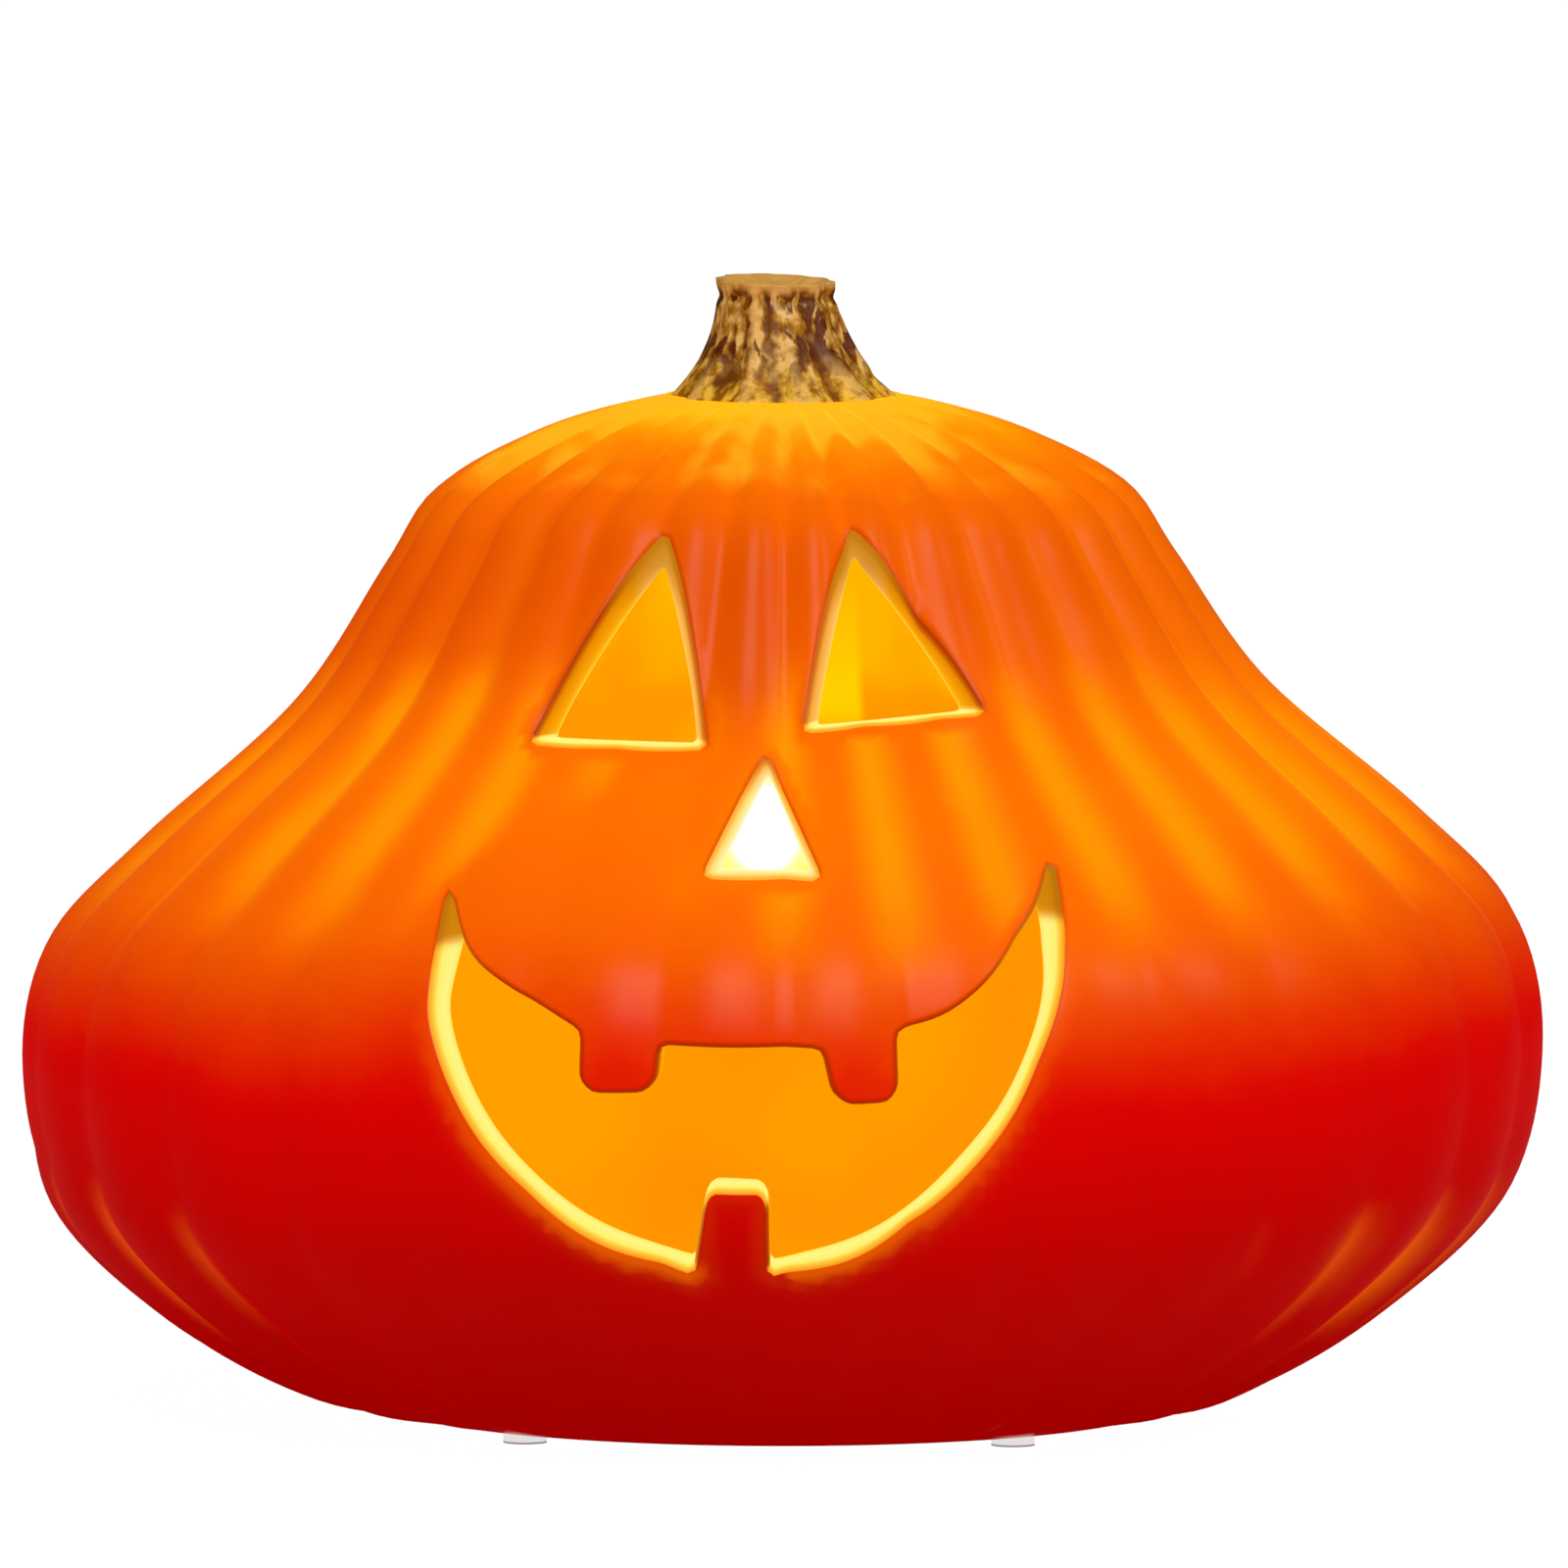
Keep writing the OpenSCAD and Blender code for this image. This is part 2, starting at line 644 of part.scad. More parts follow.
module lamp_bracket() {
    color("ivory") difference() {
        union() {
            at_seat(seat_gap + seat_t + 0.05) cylinder(r = seat_r + 0.6, h = plate_t);
            difference() {
                translate([lamp_x, cup_front, lamp_z]) rotate([-90, 0, 0]) cylinder(r = cup_r, h = 24);
                at_seat(seat_gap + seat_t) translate([0, 0, -50]) cube([100, 100, 100], center = true);
            }
        }
        translate([lamp_x, cup_front - eps, lamp_z]) rotate([-90, 0, 0]) cylinder(r = cup_r - 1.2, h = 8);
        // way out for the leads
        translate([lamp_x + cup_r - 4, cup_front + 4.2, lamp_z - 2]) cube([8, 3.8, 4]);
    }
}

module lamp_board() {
    color("white") translate([lamp_x, cup_front + 3, lamp_z]) rotate([-90, 0, 0])
        cylinder(r = cup_r - 1.3, h = 1);
}

module lamp_led() {
    color("lightyellow") translate([lamp_x, cup_front + 3, lamp_z]) rotate([90, 0, 0]) {
        cylinder(r = 2.9, h = 1);
        cylinder(r = 2.5, h = 6.2);
        translate([0, 0, 6.2]) sphere(r = 2.5);
    }
}

// A frosted dome on the cup's rim: a short skirt and a rounded end.
module lamp_dome() {
    skirt = 4;
    shell_t = 1.2;
    color("white") translate([lamp_x, cup_front - 0.05, lamp_z]) rotate([90, 0, 0])
        rotate_extrude() difference() {
            union() {
                square([dome_r, skirt]);
                intersection() {
                    translate([0, skirt]) circle(r = dome_r);
                    square([dome_r, big]);
                }
            }
            translate([-1, -1]) square([dome_r - shell_t + 1, skirt + 1]);
            translate([0, skirt]) circle(r = dome_r - shell_t);
            translate([-big, -big / 2]) square([big, big]);
        }
}

// ---------------------------------------------------------------- lamp leads

lead_r = 0.6;
lead_apart = 0.75;           // each lead's distance from the middle of the pair
lead_lift = 1.4;

// The free run from the board, up through the cover and down to the shell's floor. Each entry is
// a place and the direction that the flat side of the pair faces.
free_run = [
    [[8.5, 28, board_z + board_t + 0.3], [-1, 0, 0]],
    [[8.5, 28, 9.5], [-1, 0, 0.1]],
    [[10.5, 26.6, 10.5], [-0.3, 0.3, 1]],
    [[15.5, 22.8, 10.3], [0, 0, 1]],
    [[20.6, 19.7, 10.2], [-0.4, 0.1, 1]],
    [[22, 19.5, 11.2], [-1, 0, 0.2]],
    [[22, 19.5, 12.6], [-1, 0, 0]],
    [[22.2, 19.6, 14], [-1, -0.2, 0.2]],
    [[24.4, 21.6, 15.4], [-0.3, -0.3, 0.9]],
    [[28.4, 25.4, 14.6], [0.3, 0.2, 0.9]],
    [[31.4, 28.8, 11.6], [0.4, 0.4, 0.8]]
];
// Stations on the inside of the shell: azimuth from the back, and span of the outline.
wall_run = [[46, 0.45], [45, 1.1], [43.5, 1.8], [42.5, 2.5], [41.5, 3.2], [39.5, 3.9], [35.5, 4.5],
    [29, 4.95], [20, 5.3], [12, 5.45]];
lead_end = [lamp_x + cup_r - 2, cup_front + 6.1, lamp_z];
lead_route = concat(
    free_run,
    [for (w = wall_run) [inside_point(w.x, w.y, lead_lift), inside_facing(w.x, w.y)]],
    [[lead_end + [7, 3.4, -0.7], inside_facing(4, lamp_u)], [lead_end, inside_facing(4, lamp_u)]]
);
route_points = smooth([for (p = lead_route) p[0]], 3);
route_facings = smooth([for (p = lead_route) p[1]], 3);

// Direction across the pair at a place on the route.
function route_across(i) =
    let (across = cross(path_tangent(route_points, i), route_facings[i]))
    across / norm(across);

// One of the two leads, on its own side of the route.
module lead(side) {
    path = [for (i = [0:len(route_points) - 1]) route_points[i] + side * lead_apart * route_across(i)];
    tube(path, route_facings, lead_r, 8);
}

module lead_red() { color("red") lead(1); }
module lead_black() { color("black") lead(-1); }

module lead_grommet() {
    color("black") translate([outlet.x, outlet.y, cover_z]) difference() {
        union() {
            translate([0, 0, -0.7]) cylinder(r = 2.5, h = cover_t + 1.4);
            translate([0, 0, -0.75]) cylinder(r = 3.3, h = 0.7);
            translate([0, 0, cover_t + 0.05]) cylinder(r = 3.3, h = 0.7);
        }
        block(-1.1, 1.1, -1.9, 1.9, -1, 6);
    }
}

// Glued saddles that hold the pair against the wall, at places on the route.
module lead_clips() {
    for (i = [3 * len(free_run) + 7, 3 * len(free_run) + 14, 3 * len(free_run) + 22]) {
        across = route_across(i);
        facing = route_facings[i] / norm(route_facings[i]);
        along = cross(facing, across);
        p = route_points[i] - facing * (lead_lift - 0.8);
        color("white") multmatrix([
            [across.x, along.x, facing.x, p.x],
            [across.y, along.y, facing.y, p.y],
            [across.z, along.z, facing.z, p.z],
            [0, 0, 0, 1]
        ]) difference() {
            translate([-3.6, -1.6, 0]) cube([7.2, 3.2, 2.6]);
            translate([-1.9, -3, -1]) cube([3.8, 6, 2.8]);
        }
    }
}

pumpkin_shell();
stem();
foot_pads();
base_gasket();
base_housing();
base_cover();
cover_screws();
battery_door();
door_foam();
door_screw();
screw_insert();
battery_front();
battery_middle();
battery_rear();
contact_springs();
contact_plates();
circuit_board();
timer_chip();
capacitor();
resistor();
battery_wires();
switch_body();
switch_slider();
lead_grommet();
lead_red();
lead_black();
lead_clips();
lamp_pad();
lamp_bracket();
lamp_board();
lamp_led();
lamp_dome();
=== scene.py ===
import math

import bpy
import bmesh
import numpy as np
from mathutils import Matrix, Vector
from mathutils.geometry import delaunay_2d_cdt


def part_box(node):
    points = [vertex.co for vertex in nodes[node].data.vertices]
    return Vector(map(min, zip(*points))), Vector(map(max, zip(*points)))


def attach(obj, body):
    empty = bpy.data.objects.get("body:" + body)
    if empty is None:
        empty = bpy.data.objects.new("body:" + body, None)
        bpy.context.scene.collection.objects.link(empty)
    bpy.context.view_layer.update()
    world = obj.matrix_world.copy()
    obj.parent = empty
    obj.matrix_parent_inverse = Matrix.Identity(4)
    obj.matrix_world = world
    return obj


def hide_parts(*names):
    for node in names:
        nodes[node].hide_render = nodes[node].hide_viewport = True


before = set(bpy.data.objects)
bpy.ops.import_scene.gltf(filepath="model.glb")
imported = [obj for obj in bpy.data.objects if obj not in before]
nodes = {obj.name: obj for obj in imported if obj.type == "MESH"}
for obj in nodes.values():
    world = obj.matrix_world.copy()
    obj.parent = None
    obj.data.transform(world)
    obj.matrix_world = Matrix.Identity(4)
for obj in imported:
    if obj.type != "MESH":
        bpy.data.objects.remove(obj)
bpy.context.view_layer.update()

MM = 0.001
TURN = 2 * math.pi
scene = bpy.context.scene
collection = scene.collection


# ---------------------------------------------------------------- node helpers

def linear(r, g, b):
    """sRGB 0-255 to linear RGB."""
    def channel(c):
        c = c / 255
        return c / 12.92 if c <= 0.04045 else ((c + 0.055) / 1.055) ** 2.4
    return (channel(r), channel(g), channel(b))


class Graph:
    """A material with one Principled shader, and short calls that add the nodes feeding it.
    Colours are (red, green, blue), linear. Lengths are in metres, in the object's own frame."""

    SOCKETS = {"color": "Base Color", "rough": "Roughness", "metal": "Metallic",
               "spec": "Specular IOR Level", "ior": "IOR", "coat": "Coat Weight", "sheen": "Sheen Weight",
               "glow": "Emission Color", "glow_strength": "Emission Strength"}

    def __init__(self, name, **sockets):
        self.mat = bpy.data.materials.new(name)
        self.mat.use_nodes = True
        self.tree = self.mat.node_tree
        self.tree.nodes.clear()
        out = self.tree.nodes.new("ShaderNodeOutputMaterial")
        self.shader = self.tree.nodes.new("ShaderNodeBsdfPrincipled")
        self.tree.links.new(self.shader.outputs[0], out.inputs[0])
        self.set(**sockets)

    def set(self, **sockets):
        for key, value in sockets.items():
            self.put(value, self.shader.inputs[self.SOCKETS[key]])

    def put(self, value, socket):
        """Links a socket to a socket, or sets it to a number or a colour."""
        if isinstance(value, bpy.types.NodeSocket):
            self.tree.links.new(value, socket)
        elif isinstance(value, tuple):
            socket.default_value = (*value, 1)
        else:
            socket.default_value = value

    def node(self, kind, **props):
        n = self.tree.nodes.new("ShaderNode" + kind)
        for key, value in props.items():
            setattr(n, key, value)
        return n

    def coords(self, scale=(1, 1, 1)):
        tex = self.node("TexCoord")
        mapping = self.node("Mapping")
        mapping.inputs["Scale"].default_value = scale
        self.tree.links.new(tex.outputs["Object"], mapping.inputs["Vector"])
        return mapping.outputs[0]

    def axis(self, which):
        tex = self.node("TexCoord")
        split = self.node("SeparateXYZ")
        self.tree.links.new(tex.outputs["Object"], split.inputs[0])
        return split.outputs[which]

    def noise(self, scale, detail=3, rough=0.55, at=None, distortion=0.0):
        n = self.node("TexNoise")
        n.inputs["Scale"].default_value = scale
        n.inputs["Detail"].default_value = detail
        n.inputs["Roughness"].default_value = rough
        n.inputs["Distortion"].default_value = distortion
        self.tree.links.new(at if at is not None else self.coords(), n.inputs["Vector"])
        return n.outputs["Fac"]

    def attr(self, name):
        """A value stored on the mesh's vertices."""
        return self.node("Attribute", attribute_name=name).outputs["Fac"]

    def math(self, op, a, b=0.0):
        n = self.node("Math", operation=op)
        self.put(a, n.inputs[0])
        self.put(b, n.inputs[1])
        return n.outputs[0]

    def times(self, value, *others):
        for other in others:
            value = self.math("MULTIPLY", value, other)
        return value

    def plus(self, value, *others):
        for other in others:
            value = self.math("ADD", value, other)
        return value

    def span(self, value, low, high, to_low=0.0, to_high=1.0, smooth=False):
        """Maps low..high to to_low..to_high, and holds the ends."""
        n = self.node("MapRange")
        if smooth:
            n.interpolation_type = "SMOOTHSTEP"
        self.put(value, n.inputs["Value"])
        for name, v in (("From Min", low), ("From Max", high), ("To Min", to_low), ("To Max", to_high)):
            n.inputs[name].default_value = v
        return n.outputs[0]

    def ease(self, value, low, high):
        """0 at low to 1 at high, with soft ends."""
        return self.span(value, low, high, smooth=True)

    def ramp(self, fac, stops):
        n = self.node("ValToRGB")
        el = n.color_ramp.elements
        while len(el) > 1:
            el.remove(el[-1])
        el[0].position, el[0].color = stops[0][0], (*stops[0][1], 1)
        for position, colour in stops[1:]:
            el.new(position).color = (*colour, 1)
        self.put(fac, n.inputs[0])
        return n.outputs[0]

    def mix(self, fac, a, b):
        n = self.node("Mix", data_type="RGBA")
        self.put(fac, n.inputs[0])
        self.put(a, n.inputs[6])
        self.put(b, n.inputs[7])
        return n.outputs[2]

    def bump(self, height, strength=0.2, distance=0.0005):
        n = self.node("Bump")
        n.inputs["Strength"].default_value = strength
        n.inputs["Distance"].default_value = distance
        self.tree.links.new(height, n.inputs["Height"])
        self.tree.links.new(n.outputs[0], self.shader.inputs["Normal"])


# ---------------------------------------------------------------- mesh helpers

def add_mesh(name, verts, faces, mats, body, face_mats=None, floats=None):
    """A smooth mesh object from millimetre vertices, riding on a body. floats are the values per
    vertex that its materials read."""
    mesh = bpy.data.meshes.new(name)
    places = [tuple(v) for v in np.asarray(verts, float) * MM]
    mesh.from_pydata(places, [], [list(map(int, f)) for f in faces])
    for m in mats:
        mesh.materials.append(m)
    if face_mats is not None:
        mesh.polygons.foreach_set("material_index", np.asarray(face_mats, np.int32))
    for key, values in (floats or {}).items():
        layer = mesh.attributes.new(key, "FLOAT", "POINT")
        layer.data.foreach_set("value", np.asarray(values, np.float32))
    bm = bmesh.new()
    bm.from_mesh(mesh)
    bmesh.ops.recalc_face_normals(bm, faces=bm.faces)
    for f in bm.faces:
        f.smooth = True
    bm.to_mesh(mesh)
    bm.free()
    obj = bpy.data.objects.new(name, mesh)
    collection.objects.link(obj)
    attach(obj, body)
    return obj


def quads(a, b):
    """Faces between two closed loops of the same count."""
    n = len(a)
    return [(a[i], a[(i + 1) % n], b[(i + 1) % n], b[i]) for i in range(n)]


def zipper(a, b, angle_a, angle_b):
    """Triangles between two closed loops of different counts, matched by their angles."""
    a, b = list(a), list(b)
    ia = ib = 0
    faces = []
    na, nb = len(a), len(b)
    ta = list(angle_a) + [angle_a[0] + TURN]
    tb = list(angle_b) + [angle_b[0] + TURN]
    while ia < na or ib < nb:
        if ib >= nb or (ia < na and ta[ia + 1] <= tb[ib + 1]):
            faces.append((a[ia % na], a[(ia + 1) % na], b[ib % nb]))
            ia += 1
        else:
            faces.append((a[ia % na], b[(ib + 1) % nb], b[ib % nb]))
            ib += 1
    return faces


def lathe(profile, steps, base, axis):
    """Vertices and faces of a turned shape. profile is (radius, height) pairs along the axis."""
    turn = Vector((0, 0, 1)).rotation_difference(Vector(axis)).to_matrix()
    verts, faces = [], []
    for r, h in profile:
        for j in range(steps):
            t = TURN * j / steps
            verts.append(Vector(base) + turn @ Vector((r * math.cos(t), r * math.sin(t), h)))
    rings = [range(i * steps, (i + 1) * steps) for i in range(len(profile))]
    for ring, following in zip(rings, rings[1:]):
        faces += quads(ring, following)
    faces.append(tuple(reversed(rings[0])))
    faces.append(tuple(rings[-1]))
    return verts, faces


def spline(a, b, c, d, t):
    """A Catmull-Rom curve through b (t = 0) and c (t = 1)."""
    return 0.5 * (2 * b + (c - a) * t + (2 * a - 5 * b + 4 * c - d) * t * t
                  + (3 * b - a - 3 * c + d) * t ** 3)


def padded(points):
    """The points with one more beyond each end, as the spline needs."""
    p = np.asarray(points, float)
    return np.vstack([2 * p[0] - p[1], p, 2 * p[-1] - p[-2]])


def catmull(points, per_span=6):
    """A smooth open curve through the points."""
    p = padded(points)
    out = [spline(*p[i:i + 4], t) for i in range(len(p) - 3) for t in np.arange(per_span) / per_span]
    return np.array([*out, p[-2]])


# ---------------------------------------------------------------- the shell's form
# The same rule as in part.scad, in millimetres, so the detailed shell lies on the CAD one. u counts
# along the outline's points from foot to top, and phase is an angle that counts the ribs.

FOOT = 1.2                      # height of the clear pads
OUTLINE = np.array([[46, 0], [58.2, 2.8], [74.3, 12.1], [90.4, 27], [95, 44.5], [91.8, 60.6],
                    [79.9, 73.5], [60.9, 90.2], [49.6, 106.7], [43.3, 115.8], [30.8, 122.6],
                    [19.2, 126.2], [8, 128.1]])
PADDED = padded(OUTLINE)
LAST, TOP = len(OUTLINE) - 1, OUTLINE[-1, 1]
RIBS, GROOVE_AT = 31, 2.5       # one groove is at this phase
CROWD, CROWD_AT = 5, 8          # ribs lie closer together in front and behind than at the sides
RIB_DEPTH, GROOVE_ROUND = 0.9, 0.003
BELLY, BELLY_SPREAD, DEEPER = 45, 70, 0.9       # grooves get deeper above and below the belly
WAVE, WAVE_COUNT, WAVE_AT = 0.35, 5, 40         # and go deeper and shallower five times round
SMOOTH_TOP_R, FADE_OVER, FADE_SPANS = 8, 30, 0.6        # and fade out at the top and the foot
TILT = 1.6                      # the rim leans
SAG, SAG_HEIGHT, SAG_SKEW = 3.4, 34, 0.55       # the lower left is fuller
WALL = 5.5
STEM_Z = FOOT + TOP - 1.1
STEM_SEAT_R, PEG_HOLE_R, PEG_HOLE_DEPTH = 14.9, 5.15, 4.6
BASE_HOLE_R = 37.4
INNER_TOP_U = 11.9              # the hollow ends just below the outline's last point


def section(u):
    u = np.asarray(u, float)
    i = np.minimum(np.floor(u).astype(int), LAST - 1)
    return spline(*(PADDED[i + k] for k in range(4)), (u - i)[..., None])


def section_normal(u):
    d = section(np.minimum(u + 0.02, LAST)) - section(np.maximum(u - 0.02, 0))
    n = np.stack([d[..., 1], -d[..., 0]], -1)
    return n / np.linalg.norm(n, axis=-1)[..., None]


def rib_azimuth(phase):
    """Degrees from the front, towards +X."""
    return phase - CROWD * np.sin(np.radians(2 * (phase - CROWD_AT)))


PHASES = np.linspace(-200, 200, 4001)
AZIMUTHS = rib_azimuth(PHASES)


def phase_of(azimuth):
    return np.interp(azimuth, AZIMUTHS, PHASES)


def groove(phase):
    """1 at the bottom of a groove, 0 on a crest."""
    s = np.abs(np.sin(np.radians(RIBS * (phase - GROOVE_AT) / 2)))
    return 1 - np.sqrt(s * s + GROOVE_ROUND)


def fade(u):
    s = section(u)
    return np.clip((s[..., 0] - SMOOTH_TOP_R) / FADE_OVER, 0, 1) * np.minimum(1, u / FADE_SPANS)


def groove_depth(u, phase):
    s = section(u)
    spread = np.abs(s[..., 1] - BELLY) / BELLY_SPREAD
    wave = 1 + WAVE * np.sin(np.radians(WAVE_COUNT * phase + WAVE_AT))
    return RIB_DEPTH * (1 + DEEPER * spread) * wave * fade(u)


def shell_rz(u, phase, inset, rib_share):
    """Radius, height and angle of a surface that lies inset below the outer one."""
    depth = inset + rib_share * groove_depth(u, phase) * groove(phase)
    s = section(u) - section_normal(u) * depth[..., None]
    a = np.radians(270 + rib_azimuth(phase))
    tilt = TILT * np.cos(a) * np.sin(np.pi * s[..., 1] / TOP) ** 2
    height = np.minimum(1, np.maximum(0, s[..., 1]) / SAG_HEIGHT)
    swell = SAG * np.maximum(0, -np.cos(a)) ** 2 * np.sin(np.pi * height ** SAG_SKEW)
    return s[..., 0] + swell, FOOT + s[..., 1] + tilt, a


def shell_xyz(u, phase, inset, rib_share):
    r, z, a = shell_rz(u, phase, inset, rib_share)
    return np.stack([r * np.cos(a), r * np.sin(a), z], -1)


U_FINE = np.linspace(0, LAST, 1201)
R_TABLE, Z_TABLE = section(U_FINE).T
S_FINE = np.concatenate([[0], np.cumsum(np.linalg.norm(np.diff(section(U_FINE), axis=0), axis=1))])


def arc(u):
    """Length along the outline from the foot."""
    return np.interp(u, U_FINE, S_FINE)


def u_at(s):
    return np.interp(s, S_FINE, U_FINE)


class Surface:
    """Radius and u of one surface of the shell over the face, by rib phase and height."""

    PHASE_END, PHASE_STEP = 62, 0.25        # the face lies between -62 and 62 degrees
    LOW, HIGH, HEIGHT_STEP = 8, 127, 0.4    # and between these heights
    RAY_STEPS = 500

    def __init__(self, inset, rib_share):
        self.phases = np.arange(-self.PHASE_END, self.PHASE_END + 0.01, self.PHASE_STEP)
        self.heights = np.arange(self.LOW, self.HIGH, self.HEIGHT_STEP)
        u = U_FINE[10:-30:2]                # clear of the foot and the top
        r, z, _ = shell_rz(*np.meshgrid(u, self.phases), inset, rib_share)
        self.r = np.array([np.interp(self.heights, zz, rr) for zz, rr in zip(z, r)])
        self.u = np.array([np.interp(self.heights, zz, u) for zz in z])

    def look(self, table, phase, height):
        i = np.clip((phase - self.phases[0]) / self.PHASE_STEP, 0, len(self.phases) - 1.001)
        j = np.clip((height - self.heights[0]) / self.HEIGHT_STEP, 0, len(self.heights) - 1.001)
        a, b = i.astype(int), j.astype(int)
        s, t = i - a, j - b
        return ((table[a, b] * (1 - s) + table[a + 1, b] * s) * (1 - t)
                + (table[a, b + 1] * (1 - s) + table[a + 1, b + 1] * s) * t)

    def meet(self, aim, ways):
        """u and phase where rays from the aim leave this surface."""
        t = np.linspace(4, 100, self.RAY_STEPS)
        p = np.asarray(aim) + ways[:, None] * t[None, :, None]
        phase = phase_of(np.degrees(np.arctan2(p[..., 0], -p[..., 1])))
        gap = np.hypot(p[..., 0], p[..., 1]) - self.look(self.r, phase, p[..., 2])
        k = np.clip(np.argmax(gap > 0, axis=1), 1, self.RAY_STEPS - 1)
        rows = np.arange(len(ways))
        share = gap[rows, k - 1] / (gap[rows, k - 1] - gap[rows, k])
        p = np.asarray(aim) + ways * (t[k - 1] + share * (t[k] - t[k - 1]))[:, None]
        phase = phase_of(np.degrees(np.arctan2(p[:, 0], -p[:, 1])))
        return self.look(self.u, phase, p[:, 2]), phase


# ---------------------------------------------------------------- the carved face
# Outlines in the face's own (x, z), as seen from the front, with z from the shell's foot.

def resample(points, step):
    """Points about a step apart along a closed outline."""
    p = np.asarray(points, float)
    p = np.vstack([p, p[:1]])
    s = np.concatenate([[0], np.cumsum(np.linalg.norm(np.diff(p, axis=0), axis=1))])
    n = max(12, int(round(s[-1] / step)))
    t = np.arange(n) * s[-1] / n
    return np.stack([np.interp(t, s, p[:, 0]), np.interp(t, s, p[:, 1])], 1)


def soften(points, sigma, step=0.3):
    """Rounds the corners of a closed outline."""
    p = resample(points, step)
    k = int(4 * sigma / step) + 1
    w = np.exp(-0.5 * (np.arange(-k, k + 1) * step / sigma) ** 2)
    w /= w.sum()
    return sum(w[i] * np.roll(p, i - k, axis=0) for i in range(2 * k + 1))


def bowed(corners, bows, n=8):
    """A closed outline of shallow arcs from corner to corner. A bow is a share of its side's length."""
    out = []
    for a, b, bow in zip(corners, corners[1:] + corners[:1], bows):
        a, b = np.array(a, float), np.array(b, float)
        d = b - a
        across = np.array([-d[1], d[0]])
        out += [a + d * t + across * bow * 4 * t * (1 - t) for t in np.arange(n) / n]
    return out


LEFT_EYE = bowed([(-28.9, 88.0), (-12.1, 114.0), (-5.7, 87.9)], (0.02, 0.02, 0.0))
RIGHT_EYE = bowed([(6.0, 90.1), (10.5, 114.8), (27.8, 91.8)], (0.01, 0.02, 0.0))
NOSE = bowed([(-5.2, 73.7), (1.6, 87.4), (9.1, 73.4)], (0.0, 0.0, 0.0))
UPPER_LEFT_LIP = [(-37.9, 71.2), (-34.4, 64.4), (-29.3, 60.5), (-24.1, 57.8), (-19.8, 55.5)]
UPPER_LEFT_TOOTH = [(-19.9, 49.6), (-18.3, 47.9), (-11.8, 47.9), (-10.1, 49.6), (-9.8, 53.8)]
UPPER_RIGHT_TOOTH = [(10.2, 53.5), (11.4, 48.3), (13.4, 46.7), (18.6, 46.8), (19.9, 48.6)]
UPPER_RIGHT_LIP = [(19.6, 55.5), (25, 57.4), (29.6, 60.8), (33, 64.8), (35.7, 69.7), (36.8, 75)]
LOWER_RIGHT_LIP = [(38.7, 67), (38.9, 61), (37.4, 54.2), (33.6, 45.8), (28, 38.6), (21.4, 32.3),
                   (14, 27.9), (3.6, 24.8)]
LOWER_TOOTH = [(3.7, 34.2), (2.9, 35.9), (-3.4, 36.2), (-4.3, 35)]
LOWER_LEFT_LIP = [(-6, 25.4), (-16.8, 29.3), (-24.1, 33.9), (-30.8, 40.5), (-35.4, 47.8),
                  (-38.5, 56), (-38.7, 62)]
MOUTH = [*catmull(UPPER_LEFT_LIP), *UPPER_LEFT_TOOTH, *UPPER_RIGHT_TOOTH, *catmull(UPPER_RIGHT_LIP),
         *catmull(LOWER_RIGHT_LIP), *LOWER_TOOTH, *catmull(LOWER_LEFT_LIP)]


def outward(outline):
    """Unit normals of a closed outline."""
    d = np.roll(outline, -1, axis=0) - np.roll(outline, 1, axis=0)
    d /= np.linalg.norm(d, axis=1)[:, None]
    x, y = outline.T
    area = 0.5 * np.sum(x * np.roll(y, -1) - np.roll(x, -1) * y)
    return np.stack([d[:, 1], -d[:, 0]], 1) * (1 if area > 0 else -1)


def directions(outline, grow, aim):
    """Unit rays from the aim through an outline on the face, moved outwards by grow."""
    p = outline + outward(outline) * grow
    y = -np.sqrt(np.interp(p[:, 1], Z_TABLE, R_TABLE) ** 2 - p[:, 0] ** 2)
    way = np.stack([p[:, 0], y, p[:, 1] + FOOT], 1) - aim
    return way / np.linalg.norm(way, axis=1)[:, None]


def inside(points, outline):
    """Which points lie inside a closed outline."""
    x, y = points[:, 0][:, None], points[:, 1][:, None]
    a, b = outline, np.roll(outline, -1, axis=0)
    crosses = (a[:, 1] > y) != (b[:, 1] > y)
    with np.errstate(divide="ignore", invalid="ignore"):
        at = a[:, 0] + (y - a[:, 1]) * (b[:, 0] - a[:, 0]) / (b[:, 1] - a[:, 1])
    return (np.sum(crosses & (x < at), axis=1) % 2) == 1


ACROSS = 1.45                   # millimetres for a degree of azimuth, in the flat map of the shell
PATCH_MARGIN = 6
HALO = 0.75                     # reach of the glow round an opening
GLAZE, CUT, CAVITY, BARE = 0, 1, 2, 3


class Shell:
    """Collects the shell's vertices, faces, materials and the values its materials read:
    rib (1 in a groove), lip (glow round an opening), cut (0 outside to 1 inside, across the cut
    wall) and sill (1 where the wall faces up to the lamp)."""

    def __init__(self):
        self.verts, self.faces, self.mats = [], [], []
        self.floats = {"rib": [], "lip": [], "cut": [], "sill": []}

    def add(self, xyz, **values):
        n = len(self.verts)
        xyz = np.asarray(xyz, float).reshape(-1, 3)
        self.verts += list(xyz)
        for key, store in self.floats.items():
            store += list(np.broadcast_to(values.get(key, 0.0), len(xyz)))
        return np.arange(n, n + len(xyz))

    def face(self, corners, mat):
        self.faces.append(tuple(corners))
        self.mats.append(mat)

    def strip(self, a, b, mat):
        for corners in quads(a, b):
            self.face(corners, mat)


shell = Shell()


